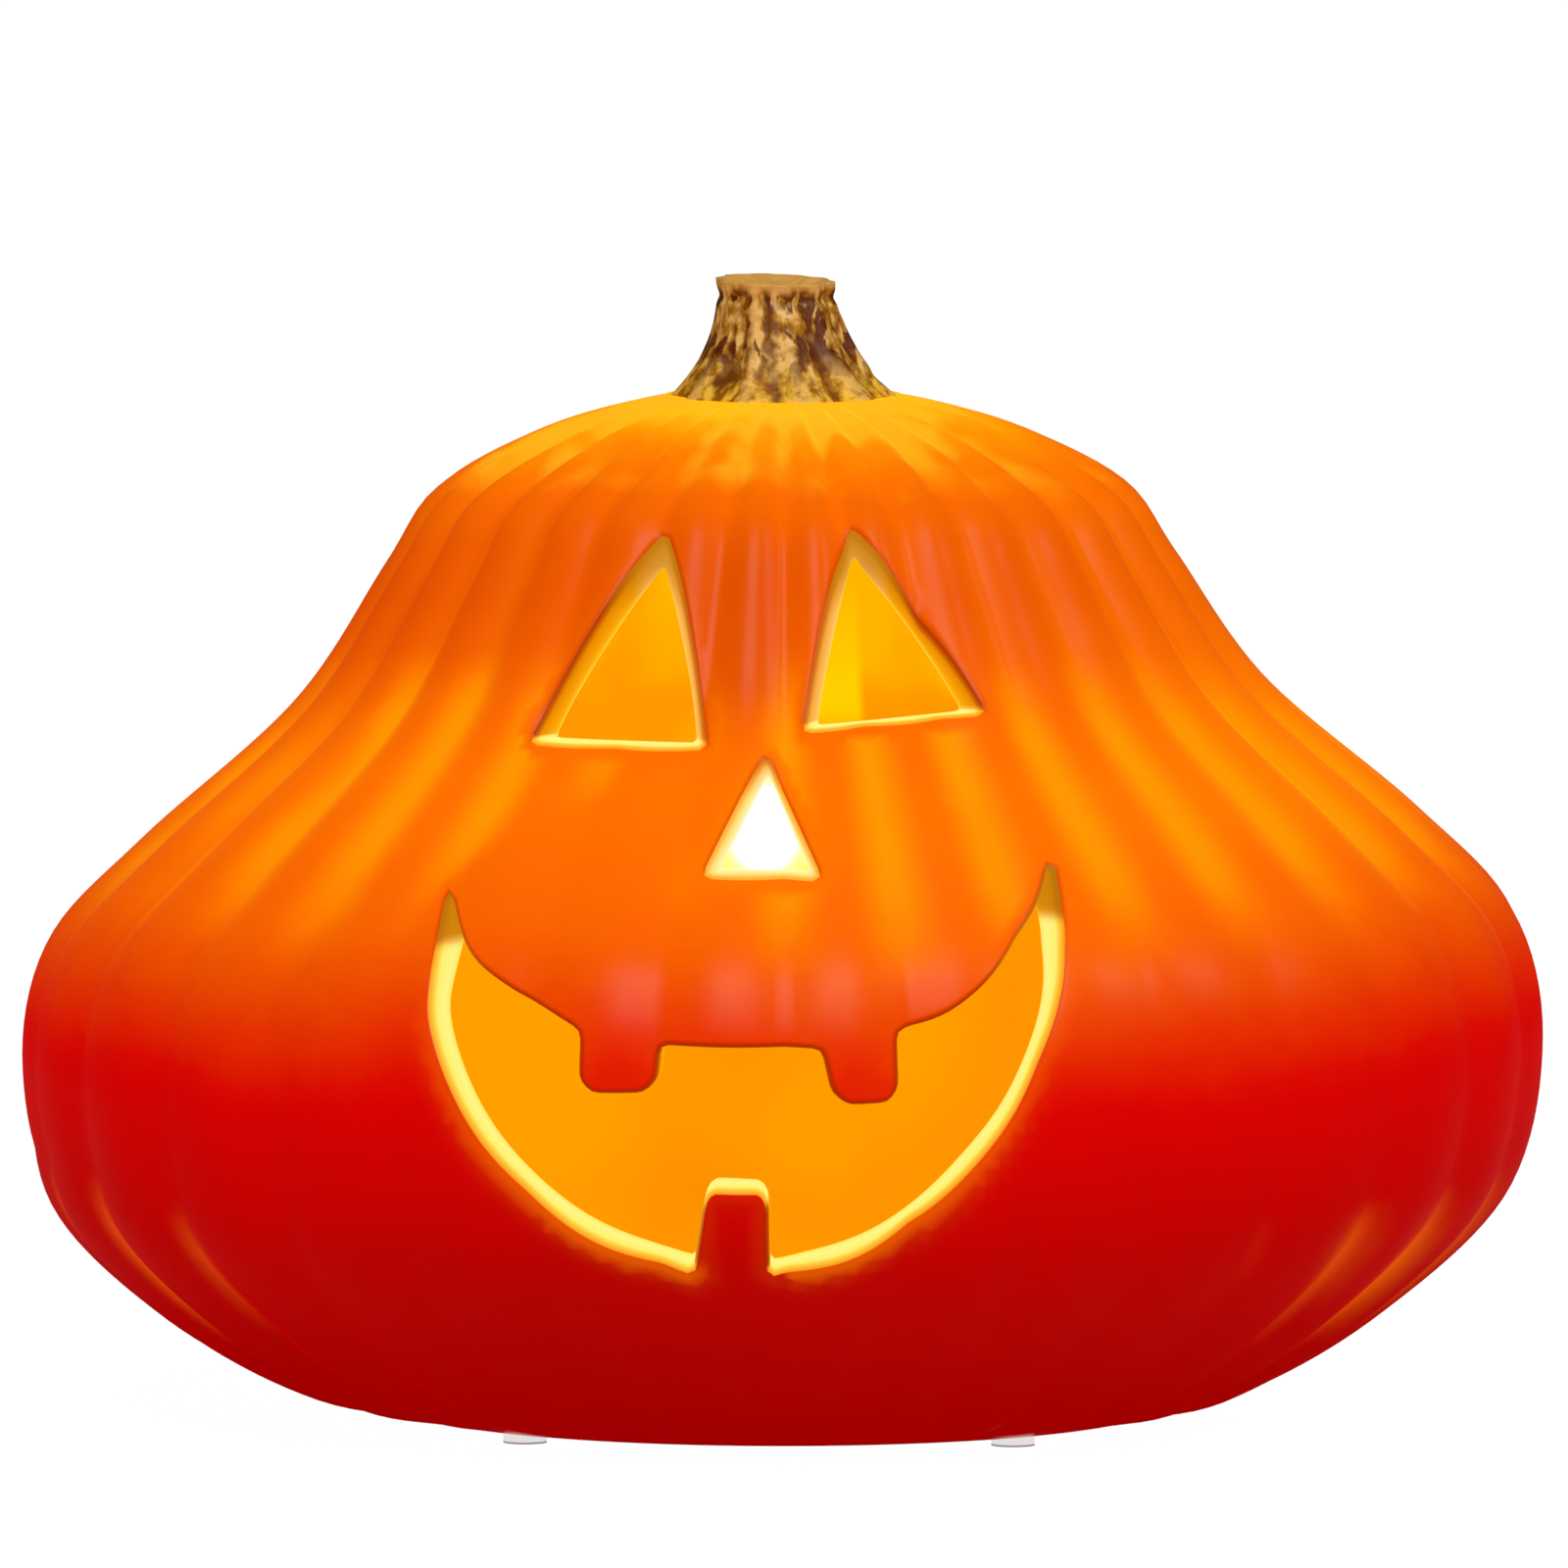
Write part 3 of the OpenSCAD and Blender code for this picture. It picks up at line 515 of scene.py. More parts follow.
def skin(phases, us, inset, rib_share, holes, mat, clear):
    """One skin of the shell, with a triangulated patch round the openings. holes are loops whose
    vertices already exist, given as (u, phase, vertex numbers, strength of the glow round them).
    No grid vertex is kept closer than clear to a hole. Returns the lowest and highest loops."""
    cols, rows = len(phases), len(us)
    grid_u, grid_p = np.meshgrid(us, phases, indexing="ij")
    xyz = shell_xyz(grid_u, grid_p, inset, rib_share)
    flat = np.stack([rib_azimuth(grid_p) * ACROSS, arc(grid_u)], -1)
    loops = [np.stack([rib_azimuth(h[1]) * ACROSS, arc(h[0])], 1) for h in holes]
    edge = np.vstack(loops)
    low, high = edge.min(0) - PATCH_MARGIN, edge.max(0) + PATCH_MARGIN
    c0 = np.searchsorted(flat[0, :, 0], low[0]) - 1
    c1 = np.searchsorted(flat[0, :, 0], high[0]) + 1
    r0 = np.searchsorted(flat[:, 0, 1], low[1]) - 1
    r1 = np.searchsorted(flat[:, 0, 1], high[1]) + 1
    keep = np.ones((rows, cols), bool)
    near = np.zeros((rows, cols))
    patch = flat[r0:r1 + 1, c0:c1 + 1].reshape(-1, 2)
    distance, halo = np.full(len(patch), np.inf), np.zeros(len(patch))
    for loop, hole in zip(loops, holes):
        for k in range(0, len(patch), 2000):
            part = slice(k, k + 2000)
            d = np.linalg.norm(patch[part, None] - loop[None], axis=2)
            distance[part] = np.minimum(distance[part], d.min(1))
            halo[part] = np.maximum(halo[part], (np.exp(-d / HALO) * hole[3]).max(1))
    gone = distance < clear
    for loop in loops:
        gone |= inside(patch, loop)
    shape = (r1 - r0 + 1, c1 - c0 + 1)
    keep[r0:r1 + 1, c0:c1 + 1] = ~gone.reshape(shape)
    near[r0:r1 + 1, c0:c1 + 1] = halo.reshape(shape)
    number = np.full((rows, cols), -1)
    rib = (0.5 + 0.5 * np.cos(np.radians(RIBS * (grid_p - GROOVE_AT)))) * rib_share
    number[keep] = shell.add(xyz[keep], rib=rib[keep], lip=near[keep])
    for i in range(rows - 1):
        for j in range(cols):
            if r0 <= i < r1 and c0 <= j < c1:
                continue
            k = (j + 1) % cols
            shell.face((number[i, j], number[i, k], number[i + 1, k], number[i + 1, j]), mat)
    # the patch
    points, ids, edges = [], [], []
    for i in range(r0, r1 + 1):
        for j in range(c0, c1 + 1):
            if keep[i, j]:
                ids.append(number[i, j])
                points.append(flat[i, j])
    for hole, loop in zip(holes, loops):
        n = len(points)
        points += list(loop)
        ids += list(hole[2])
        edges += [(n + i, n + (i + 1) % len(loop)) for i in range(len(loop))]
    out, _, tris, origin, _, _ = delaunay_2d_cdt([Vector(p) for p in points], edges, [], 0, 1e-6)
    if len(out) != len(points):
        print("the face patch gained or lost points:", len(points), len(out))
    back = [ids[o[0]] for o in origin]
    centres = np.array([np.mean([out[i] for i in t], axis=0) for t in tris])
    in_hole = np.zeros(len(tris), bool)
    for loop in loops:
        in_hole |= inside(centres, loop)
    for corners, skip in zip(tris, in_hole):
        if not skip:
            shell.face([back[i] for i in corners], mat)
    return number[0], number[-1]


OUTER_COLS, OUTER_ROWS, INNER_ROWS = 10 * RIBS, 96, 52
OUTER_INSET = 0.1               # keeps the detailed shell inside the CAD one's box
ROUND_OUT, ROUND_IN = 1.0, 0.9  # radii of the opening's edges
OUTER_CLEAR, INNER_CLEAR = 0.9, 1.6
CUT_AT_OUTER, CUT_PER_WALL, CUT_PER_STEP = 0.2, 0.55, 0.08
TOOTH_X, TOOTH_HALF, TOOTH_TOP, TOOTH_GLOW = -0.3, 5.4, 38, 0.12
MOUTH_END_X, LIT_BELOW_LEFT, LIT_BELOW_RIGHT, LIT_FADE = 25, 66.5, 70.0, 3
outer_holes, inner_holes = [], []
outside, hollow = Surface(OUTER_INSET, 1.0), Surface(WALL, 0.0)


def mouth_values(outline, sill):
    """The glow round the mouth and the light on its wall. The lamp also catches the outer walls at
    the mouth's ends, a little higher on the right."""
    x, z = outline.T
    tooth = (np.abs(x - TOOTH_X) < TOOTH_HALF) & (z < TOOTH_TOP)
    glow = np.where(tooth, TOOTH_GLOW, np.clip(0.1 + 1.1 * sill, 0, 1))
    outer = np.clip(outward(outline)[:, 0] * np.sign(x), 0, 1) * (np.abs(x) > MOUTH_END_X)
    lit_below = np.where(x > 0, LIT_BELOW_RIGHT, LIT_BELOW_LEFT)
    return glow, np.maximum(sill, 0.5 * outer * np.clip((lit_below - z) / LIT_FADE, 0, 1))


def on_ray(surface, inset, rib_share, outline, aim, grow, further):
    """Where rays from the aim through the grown outline leave a surface, moved on by further."""
    u, phase = surface.meet(aim, directions(outline, grow, aim))
    ray = shell_xyz(u, phase, inset, rib_share) - aim
    reach = np.linalg.norm(ray, axis=1)[:, None]
    return u, phase, aim + ray * (reach + further) / reach


# outline, step between its points, the point it tapers to, and the glow round it
carvings = (
    (soften(LEFT_EYE, 0.4), 0.8, (-13.5, -29, FOOT + 89), 0.12),
    (soften(RIGHT_EYE, 0.4), 0.8, (12.7, -28, FOOT + 91), 0.12),
    (soften(NOSE, 0.45), 0.7, (1.9, -45, FOOT + 75), 0.75),
    (soften(MOUTH, 0.6), 0.9, (0, 0, FOOT + 63.8), None),
)
for outline, step, aim, glow in carvings:
    outline, aim = resample(outline, step), np.array(aim)
    sill = np.clip(-outward(outline)[:, 1], 0, 1)
    if glow is None:
        glow, sill = mouth_values(outline, sill)
    glow = np.broadcast_to(glow, len(outline))
    previous = None
    # rounded outer edge
    for angle in (0, 18, 36, 54, 72, 90):
        t = math.radians(angle)
        u, phase, outer_edge = on_ray(outside, OUTER_INSET, 1.0, outline, aim,
                                      ROUND_OUT * (1 - math.sin(t)), -ROUND_OUT * (1 - math.cos(t)))
        ring = shell.add(outer_edge, lip=glow, cut=CUT_AT_OUTER * angle / 90, sill=sill)
        if previous is None:
            outer_holes.append((u, phase, ring, glow))
        else:
            shell.strip(previous, ring, GLAZE if angle < 40 else CUT)
        previous = ring
    # the cut wall, and the rounded inner edge
    _, _, inner_edge = on_ray(hollow, WALL, 0.0, outline, aim, 0, ROUND_IN)
    for share in (0.2, 0.4, 0.6, 0.8, 1.0):
        ring = shell.add(outer_edge + (inner_edge - outer_edge) * share, lip=glow,
                         cut=CUT_AT_OUTER + CUT_PER_WALL * share, sill=sill)
        shell.strip(previous, ring, CUT)
        previous = ring
    for angle in (60, 30, 0):
        t = math.radians(angle)
        u, phase, edge = on_ray(hollow, WALL, 0.0, outline, aim,
                                ROUND_IN * (1 - math.sin(t)), ROUND_IN * (1 - math.cos(t)))
        ring = shell.add(edge, lip=glow, cut=1 - CUT_PER_STEP * angle / 30, sill=sill)
        shell.strip(previous, ring, CUT)
        previous = ring
    inner_holes.append((u, phase, ring, 0.0))

UPPER = slice(800, None)        # the part of the table where the radius only falls
U_TOP = np.interp(-STEM_SEAT_R, -R_TABLE[UPPER], U_FINE[UPPER])
outer_phases = GROOVE_AT + 360 * (np.arange(OUTER_COLS) - OUTER_COLS // 2) / OUTER_COLS
outer_us = u_at(np.linspace(0, arc(U_TOP), OUTER_ROWS))
outer_foot, outer_top = skin(outer_phases, outer_us, OUTER_INSET, 1.0, outer_holes, GLAZE,
                             OUTER_CLEAR)
inner_phases = outer_phases[::2]
inner_us = u_at(np.linspace(0, arc(INNER_TOP_U), INNER_ROWS))
inner_foot, inner_top = skin(inner_phases, inner_us, WALL, 0.0, inner_holes, CAVITY, INNER_CLEAR)


def circle_loop(phases, r, z):
    a = np.radians(270 + rib_azimuth(phases))
    return np.stack([r * np.cos(a), r * np.sin(a), np.full(len(a), z)], 1)


angles = np.radians(rib_azimuth(outer_phases))
inner_angles = np.radians(rib_azimuth(inner_phases))


def close_in(loop, rings, mat, inner_loop):
    """Joins an end of the outer skin to the inner one, by way of flat and upright rings."""
    for r, z in rings:
        ring = shell.add(circle_loop(outer_phases, r, z))
        shell.strip(loop, ring, mat)
        loop = ring
    for tri in zipper(loop, inner_loop, angles, inner_angles):
        shell.face(tri, CAVITY)


# Underside: bare foot ring, recess for the battery base, and the hole to the inside.
close_in(outer_foot, ((45.4, FOOT), (44.2, FOOT), (40.1, FOOT), (39.8, FOOT + 0.3), (39.8, FOOT + 2.6),
                      (BASE_HOLE_R, FOOT + 2.6), (BASE_HOLE_R, FOOT + WALL - 0.1)), BARE, inner_foot)
# Top: flat seat under the stem, and the hole for its peg.
close_in(outer_top, ((14.7, STEM_Z + 0.12), (14.3, STEM_Z - 0.02), (PEG_HOLE_R, STEM_Z - 0.02),
                     (PEG_HOLE_R, STEM_Z - PEG_HOLE_DEPTH)), GLAZE, inner_top)


# ---------------------------------------------------------------- materials of the shell

RAMP_TOP = 132                  # millimetres above the table
GLOW_BY_HEIGHT = (
    (0, 0.31, 0, 0), (13, 0.37, 0, 0), (26, 0.44, 0, 0), (35, 0.49, 0, 0), (42, 0.53, 0, 0),
    (47, 0.56, 0, 0), (50, 0.58, 0.002, 0), (53, 0.60, 0.011, 0), (57, 0.62, 0.028, 0),
    (61, 0.64, 0.052, 0), (68, 0.70, 0.092, 0), (76, 0.735, 0.112, 0), (83, 0.75, 0.122, 0),
    (91, 0.69, 0.098, 0), (98, 0.61, 0.062, 0), (105, 0.56, 0.048, 0), (112, 0.575, 0.058, 0),
    (117, 0.62, 0.085, 0), (120, 0.69, 0.13, 0), (122, 0.74, 0.18, 0), (124, 0.79, 0.28, 0),
    (126.5, 0.85, 0.47, 0.006), (130, 0.86, 0.50, 0.012))


def glaze():
    """Red at the foot to orange at the top, glowing where the lamp shines through."""
    g = Graph("orange_glaze", spec=0.5, ior=1.2, glow_strength=1.0)
    x, y, rib = g.axis(0), g.axis(1), g.attr("rib")
    # the height that sets the colour wanders and is mottled, and is a little lower on the right
    wander = g.times(g.math("SUBTRACT", g.noise(13, 2), 0.5), 0.014)
    mottle = g.times(g.math("SUBTRACT", g.noise(110, 4, 0.65), 0.5), 0.005)
    z = g.plus(g.axis(2), wander, mottle, g.span(x, 0.045, 0.080, 0.0, -0.0025))
    height = g.span(z, 0, RAMP_TOP * MM)
    paint = g.ramp(height, [
        (0.0, (0.22, 0.0, 0.0)), (0.2, (0.30, 0.0, 0.0)), (0.36, (0.36, 0.001, 0.0)),
        (0.43, (0.38, 0.012, 0.0)), (0.5, (0.42, 0.05, 0.0)), (0.6, (0.46, 0.075, 0.0)),
        (1.0, (0.48, 0.09, 0.0))])
    light = g.ramp(height, [(h / RAMP_TOP, colour) for h, *colour in GLOW_BY_HEIGHT])
    # one side is nearer the lamp's wide throw
    side = g.times(g.ease(x, 0.025, 0.085), g.ease(z, 0.066, 0.088))
    light = g.mix(g.times(side, 0.5), light, (0.90, 0.27, 0.0))
    # patches of painted lamp light round the shoulder
    fingers = g.plus(g.noise(58, 2, at=g.coords((1, 1, 0.45))), g.times(rib, 0.10))
    patch = g.times(g.ease(z, 0.1165, 0.1225), g.ease(fingers, 0.50, 0.66))
    light = g.mix(g.times(patch, 0.75), light, (0.92, 0.45, 0.012))
    # the grooves are thinner, and some let more light through than others
    some = g.ease(g.noise(23, 2, at=g.coords((1, 1, 0.35))), 0.40, 0.56)
    band = g.times(g.ease(z, 0.063, 0.076), g.span(z, 0.100, 0.089, 0.12, 1, smooth=True))
    facing = g.span(y, 0.06, -0.01, 0.45, 0.9)
    light = g.mix(g.times(g.math("POWER", rib, 1.4), some, band, facing), light, (0.88, 0.28, 0.0))
    # the brow between the eyes is in the lamp's shade
    off = g.math("ABSOLUTE", g.plus(x, 0.004))
    brow = g.times(g.ease(off, 0.013, 0.004), g.ease(z, 0.086, 0.097), g.ease(z, 0.117, 0.107),
                   g.span(y, 0, -0.01))
    light = g.mix(g.times(brow, 0.75), light, (0.46, 0.030, 0.0))
    # faint streaks of painted light low on both cheeks, and wider ones on the right flank
    cheek = g.times(g.ease(g.math("ABSOLUTE", x), 0.058, 0.074), g.span(y, 0.05, 0.01, 0.3, 1),
                    g.ease(z, 0.033, 0.024), g.span(z, 0.010, 0.016), g.math("POWER", rib, 12.0))
    light = g.mix(g.times(cheek, 0.65), light, (0.80, 0.09, 0.0))
    flank = g.times(g.ease(x, 0.066, 0.078), g.span(y, 0.020, -0.008, 0.25, 1),
                    g.ease(z, 0.032, 0.021), g.ease(z, 0.008, 0.016), g.math("POWER", rib, 1.6))
    light = g.mix(g.times(flank, 0.52), light, (0.76, 0.12, 0.0))
    # glow round the openings
    light = g.mix(g.times(g.attr("lip"), 0.55), light, (0.86, 0.16, 0.0))
    # the rounded edge is darker where it is turned from the lamp
    edge = g.times(g.span(g.attr("cut"), 0.0, 0.08), g.span(g.attr("sill"), 0.7, 0.0))
    light = g.mix(g.times(edge, 0.85), light, (0.34, 0.012, 0.0))
    g.set(color=paint, glow=light, rough=g.span(g.noise(30, 3), 0.3, 0.7, 0.24, 0.36))
    orange_peel = g.noise(55, 3)
    g.bump(orange_peel, 0.07, 0.0004)
    return g.mat


def cut_edge():
    """The cut wall: bright where it faces up to the lamp, deeper amber where it faces down."""
    g = Graph("cut_edge", rough=0.4, spec=0.3, ior=1.2, glow_strength=1.0)
    sill, cut, z = g.attr("sill"), g.attr("cut"), g.axis(2)
    aside = g.math("ABSOLUTE", g.axis(0))
    shade = g.ramp(cut, [
        (0.11, (0.33, 0.015, 0.0)), (0.24, (0.66, 0.21, 0.0)), (0.62, (0.80, 0.34, 0.002)),
        (0.74, (0.86, 0.46, 0.01)), (0.86, (0.96, 0.78, 0.10)), (1.0, (0.95, 0.50, 0.01))])
    bright = g.ramp(cut, [
        (0.06, (0.80, 0.22, 0.0)), (0.16, (0.92, 0.52, 0.04)), (0.30, (0.96, 0.84, 0.16)),
        (0.6, (0.96, 0.88, 0.24)), (0.86, (0.95, 0.72, 0.08)), (1.0, (0.95, 0.50, 0.01))])
    light = g.mix(g.ease(sill, 0.02, 0.42), shade, bright)
    # the lamp is behind the nose
    nose = g.times(g.span(z, 0.071, 0.073), g.span(z, 0.0885, 0.0835, 0.25, 1),
                   g.span(aside, 0.016, 0.014))
    hot = g.ramp(cut, [(0.06, (0.92, 0.32, 0.01)), (0.22, (0.98, 0.60, 0.12)),
                       (0.7, (1.0, 0.88, 0.45)), (1.0, (1.0, 0.98, 0.75))])
    light = g.mix(nose, light, hot)
    # the wall is dim in the corners of the mouth, where it is turned away from the lamp
    corner = g.times(g.span(sill, 0.3, 0.05), g.span(z, 0.080, 0.078), g.span(z, 0.062, 0.066),
                     g.span(aside, 0.026, 0.032))
    light = g.mix(g.times(corner, 0.75), light, (0.40, 0.17, 0.004))
    # and in the top of each eye
    apex = g.times(g.span(z, 0.1045, 0.110), g.span(cut, 0.95, 0.85))
    light = g.mix(g.times(apex, 0.7), light, (0.44, 0.19, 0.003))
    g.set(color=(0.20, 0.06, 0.0), glow=light)
    return g.mat


def cavity():
    """The inside, lit all over by the lamp."""
    g = Graph("cavity_glaze", rough=0.5, spec=0.1, ior=1.1, glow_strength=1.0)
    x, y, z = (g.axis(i) for i in range(3))
    streak = g.noise(1.0, 2, at=g.coords((30, 30, 5)))
    light = g.ramp(streak, [(0.3, (0.90, 0.27, 0.0)), (0.62, (0.97, 0.345, 0.0))])
    patch = g.times(g.span(z, 0.055, 0.075), g.span(streak, 0.50, 0.60))
    light = g.mix(g.times(patch, 0.7), light, (0.97, 0.50, 0.0))
    # the lamp's light gathers on the back wall above it
    pool = g.times(g.ease(x, -0.006, 0.0), g.ease(x, 0.0072, 0.0056), g.span(z, 0.078, 0.084),
                   g.span(z, 0.102, 0.088), g.span(y, 0.0, 0.01))
    light = g.mix(g.times(pool, 0.85), light, (1.0, 0.66, 0.0))
    g.set(color=(0.08, 0.02, 0.0), glow=light)
    return g.mat


def bare_clay():
    """Unglazed, gritty clay."""
    g = Graph("bare_clay", rough=0.85, spec=0.2)
    n = g.noise(900, 4)
    g.set(color=g.ramp(n, [(0.3, (0.50, 0.40, 0.30)), (0.7, (0.62, 0.52, 0.42))]))
    g.bump(n, 0.3, 0.0002)
    return g.mat


shell_obj = add_mesh("pumpkin_body", shell.verts, shell.faces,
                     [glaze(), cut_edge(), cavity(), bare_clay()], "figure",
                     face_mats=shell.mats, floats=shell.floats)
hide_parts("pumpkin_shell")


# ---------------------------------------------------------------- stem

STEM_H, STEM_TOP_R, STEM_FOOT_R, STEM_LEAN = 14.5, 7.2, 13.4, 1.2
STEM_COLS, STEM_ROWS, STEM_LUMPS = 160, 60, 46
PEG_R, PEG_TIP_R, PEG_LENGTH, PEG_TIP_AT = 4.98, 4.5, 8.98, 8.6
STEM_DROP = 0.06                # keeps the detailed stem inside the CAD one's box


def stem_mesh():
    """Vertices, faces, and two values per vertex: height (0 foot to 1 top) and crest (0 in a groove)."""
    rng = np.random.default_rng(11)
    a = np.arange(STEM_COLS) * 2 * np.pi / STEM_COLS
    A, T = np.meshgrid(a, np.linspace(0, 1, STEM_ROWS))
    ridge = 0.5 + 0.5 * np.cos(10 * A + np.radians(25 * T))
    fine = sum(w * np.sin(k * A + p + q * T) for k, w, p, q in
               ((17, 0.5, 0.6, 2.0), (23, 0.4, 2.1, -3.0), (31, 0.35, 4.0, 5.0)))
    fine = 0.5 + fine / 2.5
    broad = 1 + 0.07 * ridge + 0.03 * np.sin(3 * A + np.radians(80 * T))
    r = (STEM_TOP_R + (STEM_FOOT_R - STEM_TOP_R) * (1 - T) ** 2.2) * broad
    furrow = (1 - fine) * (0.35 + 0.65 * (1 - ridge))
    r -= 0.15 + 0.75 * furrow * (0.5 + 0.5 * np.sin(np.pi * T) ** 0.5)
    # a thin pinch under the rim
    r -= 0.35 * np.exp(-((T - 0.86) / 0.05) ** 2)
    z = STEM_Z + STEM_H * T * (1 + 0.02 * T * np.cos(A - math.radians(135)))
    lumps = np.zeros_like(r)
    for _ in range(STEM_LUMPS):
        ca, ct = rng.uniform(0, 2 * np.pi), rng.uniform(0.05, 0.9)
        d = ((np.angle(np.exp(1j * (A - ca)))) / 0.16) ** 2 + ((T - ct) / 0.06) ** 2
        lumps -= rng.uniform(0.1, 0.45) * np.exp(-d)
    r += lumps
    verts = np.stack([r * np.cos(A) - STEM_LEAN * T, r * np.sin(A), z - STEM_DROP], -1).reshape(-1, 3)
    verts = list(verts)
    rows = [list(range(i * STEM_COLS, (i + 1) * STEM_COLS)) for i in range(STEM_ROWS)]
    faces = []
    for row, following in zip(rows, rows[1:]):
        faces += quads(row, following)
    height = list(T.ravel())
    crest = list((0.6 * ridge + 0.4 * fine + lumps).ravel())
    # dished, fibrous cut top
    rim = verts[-STEM_COLS:]
    loop = rows[-1]
    for share, drop in ((0.93, -0.05), (0.84, 0.35), (0.6, 0.75), (0.35, 0.8), (0.12, 0.6)):
        ring = list(range(len(verts), len(verts) + STEM_COLS))
        for t, (x, y, zz) in zip(a, rim):
            wave = 0.12 * math.sin(7 * t + 9 * share) + 0.08 * math.sin(19 * t)
            verts.append((x * share - STEM_LEAN * (1 - share), y * share,
                          zz - drop + (wave if 0.2 < share < 0.9 else 0)))
            height.append(1.0 + 0.02 * (1 - share))
            crest.append(0.5 + 0.5 * math.sin(23 * t) * share)
        faces += quads(loop, ring)
        loop = ring
    faces.append(tuple(loop))
    # foot: down to the seat, and the peg in its hole
    loop = rows[0]
    for rr, zz in ((PEG_R, STEM_Z), (PEG_R, STEM_Z - PEG_TIP_AT), (PEG_TIP_R, STEM_Z - PEG_LENGTH)):
        ring = list(range(len(verts), len(verts) + STEM_COLS))
        verts += [(rr * math.cos(t), rr * math.sin(t), zz) for t in a]
        height += [0.0] * STEM_COLS
        crest += [0.5] * STEM_COLS
        faces += quads(ring, loop)
        loop = ring
    faces.append(tuple(reversed(loop)))
    return verts, faces, height, crest


def stem_paint():
    """Brown patches and cream flecks over ochre, painted cream highlights on the crests, gold at the foot.
    """
    g = Graph("stem_paint", rough=0.5, spec=0.3, glow_strength=1.0)
    patch = g.noise(400, 3, at=g.coords((1, 1, 0.5)), distortion=0.6)
    fleck = g.noise(640, 2, at=g.coords((1, 1, 0.7)))
    height, crest = g.attr("height"), g.attr("crest")
    ochre = g.ramp(fleck, [(0.36, linear(140, 84, 10)), (0.5, linear(204, 142, 38)),
                           (0.62, linear(255, 206, 118))])
    foot = g.ramp(fleck, [(0.38, linear(170, 104, 0)), (0.58, linear(255, 200, 56))])
    col = g.mix(g.span(height, 0.04, 0.40), foot, ochre)
    # cream on the crests is a painted highlight; the flecks add cream at random
    fleck_and_crest_highlight = g.span(g.plus(crest, g.times(fleck, 0.8)), 0.95, 1.25)
    col = g.mix(g.times(fleck_and_crest_highlight, 0.7), col, linear(246, 192, 108))
    dark = g.times(g.span(patch, 0.50, 0.555), g.span(height, 0.10, 0.42), g.span(height, 0.97, 0.88))
    col = g.mix(g.times(dark, 0.92), col, linear(92, 26, 2))
    groove_dark = g.times(g.span(crest, 0.34, 0.08), 0.8)
    col = g.mix(groove_dark, col, linear(112, 52, 4))
    cut_top = g.span(height, 0.93, 0.985)
    col = g.mix(cut_top, col, linear(232, 172, 84))
    # the stem is no lamp: part of its colour is also painted on as a glow, painted light that brightens it
    g.set(color=col, glow=g.mix(0.86, col, (0.0, 0.0, 0.0)))
    g.bump(g.plus(patch, fleck), 0.35, 0.0005)
    return g.mat


sv, sf, sh, sc = stem_mesh()
stem_obj = add_mesh("stem_cast", sv, sf, [stem_paint()], "figure",
                    floats={"height": sh, "crest": sc})
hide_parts("stem")


# ---------------------------------------------------------------- simple materials

def plastic(name, low, high, rough=0.4, glow=None):
    """Moulded plastic or rubber with a fine grain, cloudy between two colours. A glow, when given, is
    painted lamp light.
    """
    g = Graph(name, spec=0.45)
    n = g.noise(2500, 2)
    cloud = g.noise(40, 2)
    g.set(color=g.ramp(cloud, [(0.35, low), (0.65, high)]),
          rough=g.span(n, 0.3, 0.7, rough - 0.06, rough + 0.06))
    if glow:
        g.set(glow=glow, glow_strength=1.0)
    g.bump(n, 0.12, 0.00008)
    return g.mat


def metal(name, colour, rough=0.25):
    """Brushed metal."""
    g = Graph(name, metal=1.0)
    n = g.noise(900, 3, at=g.coords((1, 1, 60)))
    darker = tuple(c * 0.75 for c in colour)
    g.set(color=g.ramp(n, [(0.3, darker), (0.7, colour)]), rough=g.span(n, 0.3, 0.7, rough, rough + 0.18))
    g.bump(n, 0.08, 0.00005)
    return g.mat


def foam(name, low, high):
    """Open-cell foam, dull and rough."""
    g = Graph(name, rough=0.95, spec=0.15, sheen=0.2)
    n = g.noise(1800, 4)
    g.set(color=g.ramp(n, [(0.3, low), (0.7, high)]))
    g.bump(n, 0.5, 0.0003)
    return g.mat


# the amber parts round the lamp get a faint painted glow of lamp light; the underside parts get none
amber = plastic("amber_plastic", (0.55, 0.17, 0.01), (0.62, 0.21, 0.015), 0.38, glow=(0.10, 0.03, 0.0))
amber_dark = plastic("amber_underside", (0.60, 0.20, 0.02), (0.66, 0.24, 0.03), 0.42)
steel = metal("screw_steel", (0.62, 0.61, 0.59), 0.25)
nickel = metal("contact_nickel", (0.72, 0.70, 0.66), 0.18)
brass = metal("insert_brass", (0.72, 0.50, 0.20), 0.28)
pad_foam = foam("pad_foam", (0.03, 0.03, 0.03), (0.07, 0.065, 0.06))
white_foam = foam("white_foam", (0.6, 0.58, 0.54), (0.75, 0.73, 0.69))
black_rubber = plastic("black_rubber", (0.012, 0.012, 0.012), (0.022, 0.022, 0.022), 0.55)
black_plastic = plastic("black_plastic", (0.015, 0.015, 0.016), (0.03, 0.03, 0.03), 0.42)
clip_white = plastic("clip_white", (0.72, 0.68, 0.60), (0.80, 0.76, 0.68), 0.4)
red_pvc = plastic("red_insulation", (0.50, 0.01, 0.008), (0.58, 0.015, 0.01), 0.35)
black_pvc = plastic("black_insulation", (0.015, 0.015, 0.015), (0.03, 0.03, 0.03), 0.35)
chip_resin = plastic("chip_resin", (0.012, 0.012, 0.012), (0.02, 0.02, 0.02), 0.5)
cap_sleeve = plastic("capacitor_sleeve", (0.02, 0.02, 0.10), (0.03, 0.03, 0.14), 0.25)
resistor_coat = plastic("resistor_coat", (0.50, 0.34, 0.16), (0.58, 0.40, 0.20), 0.3)
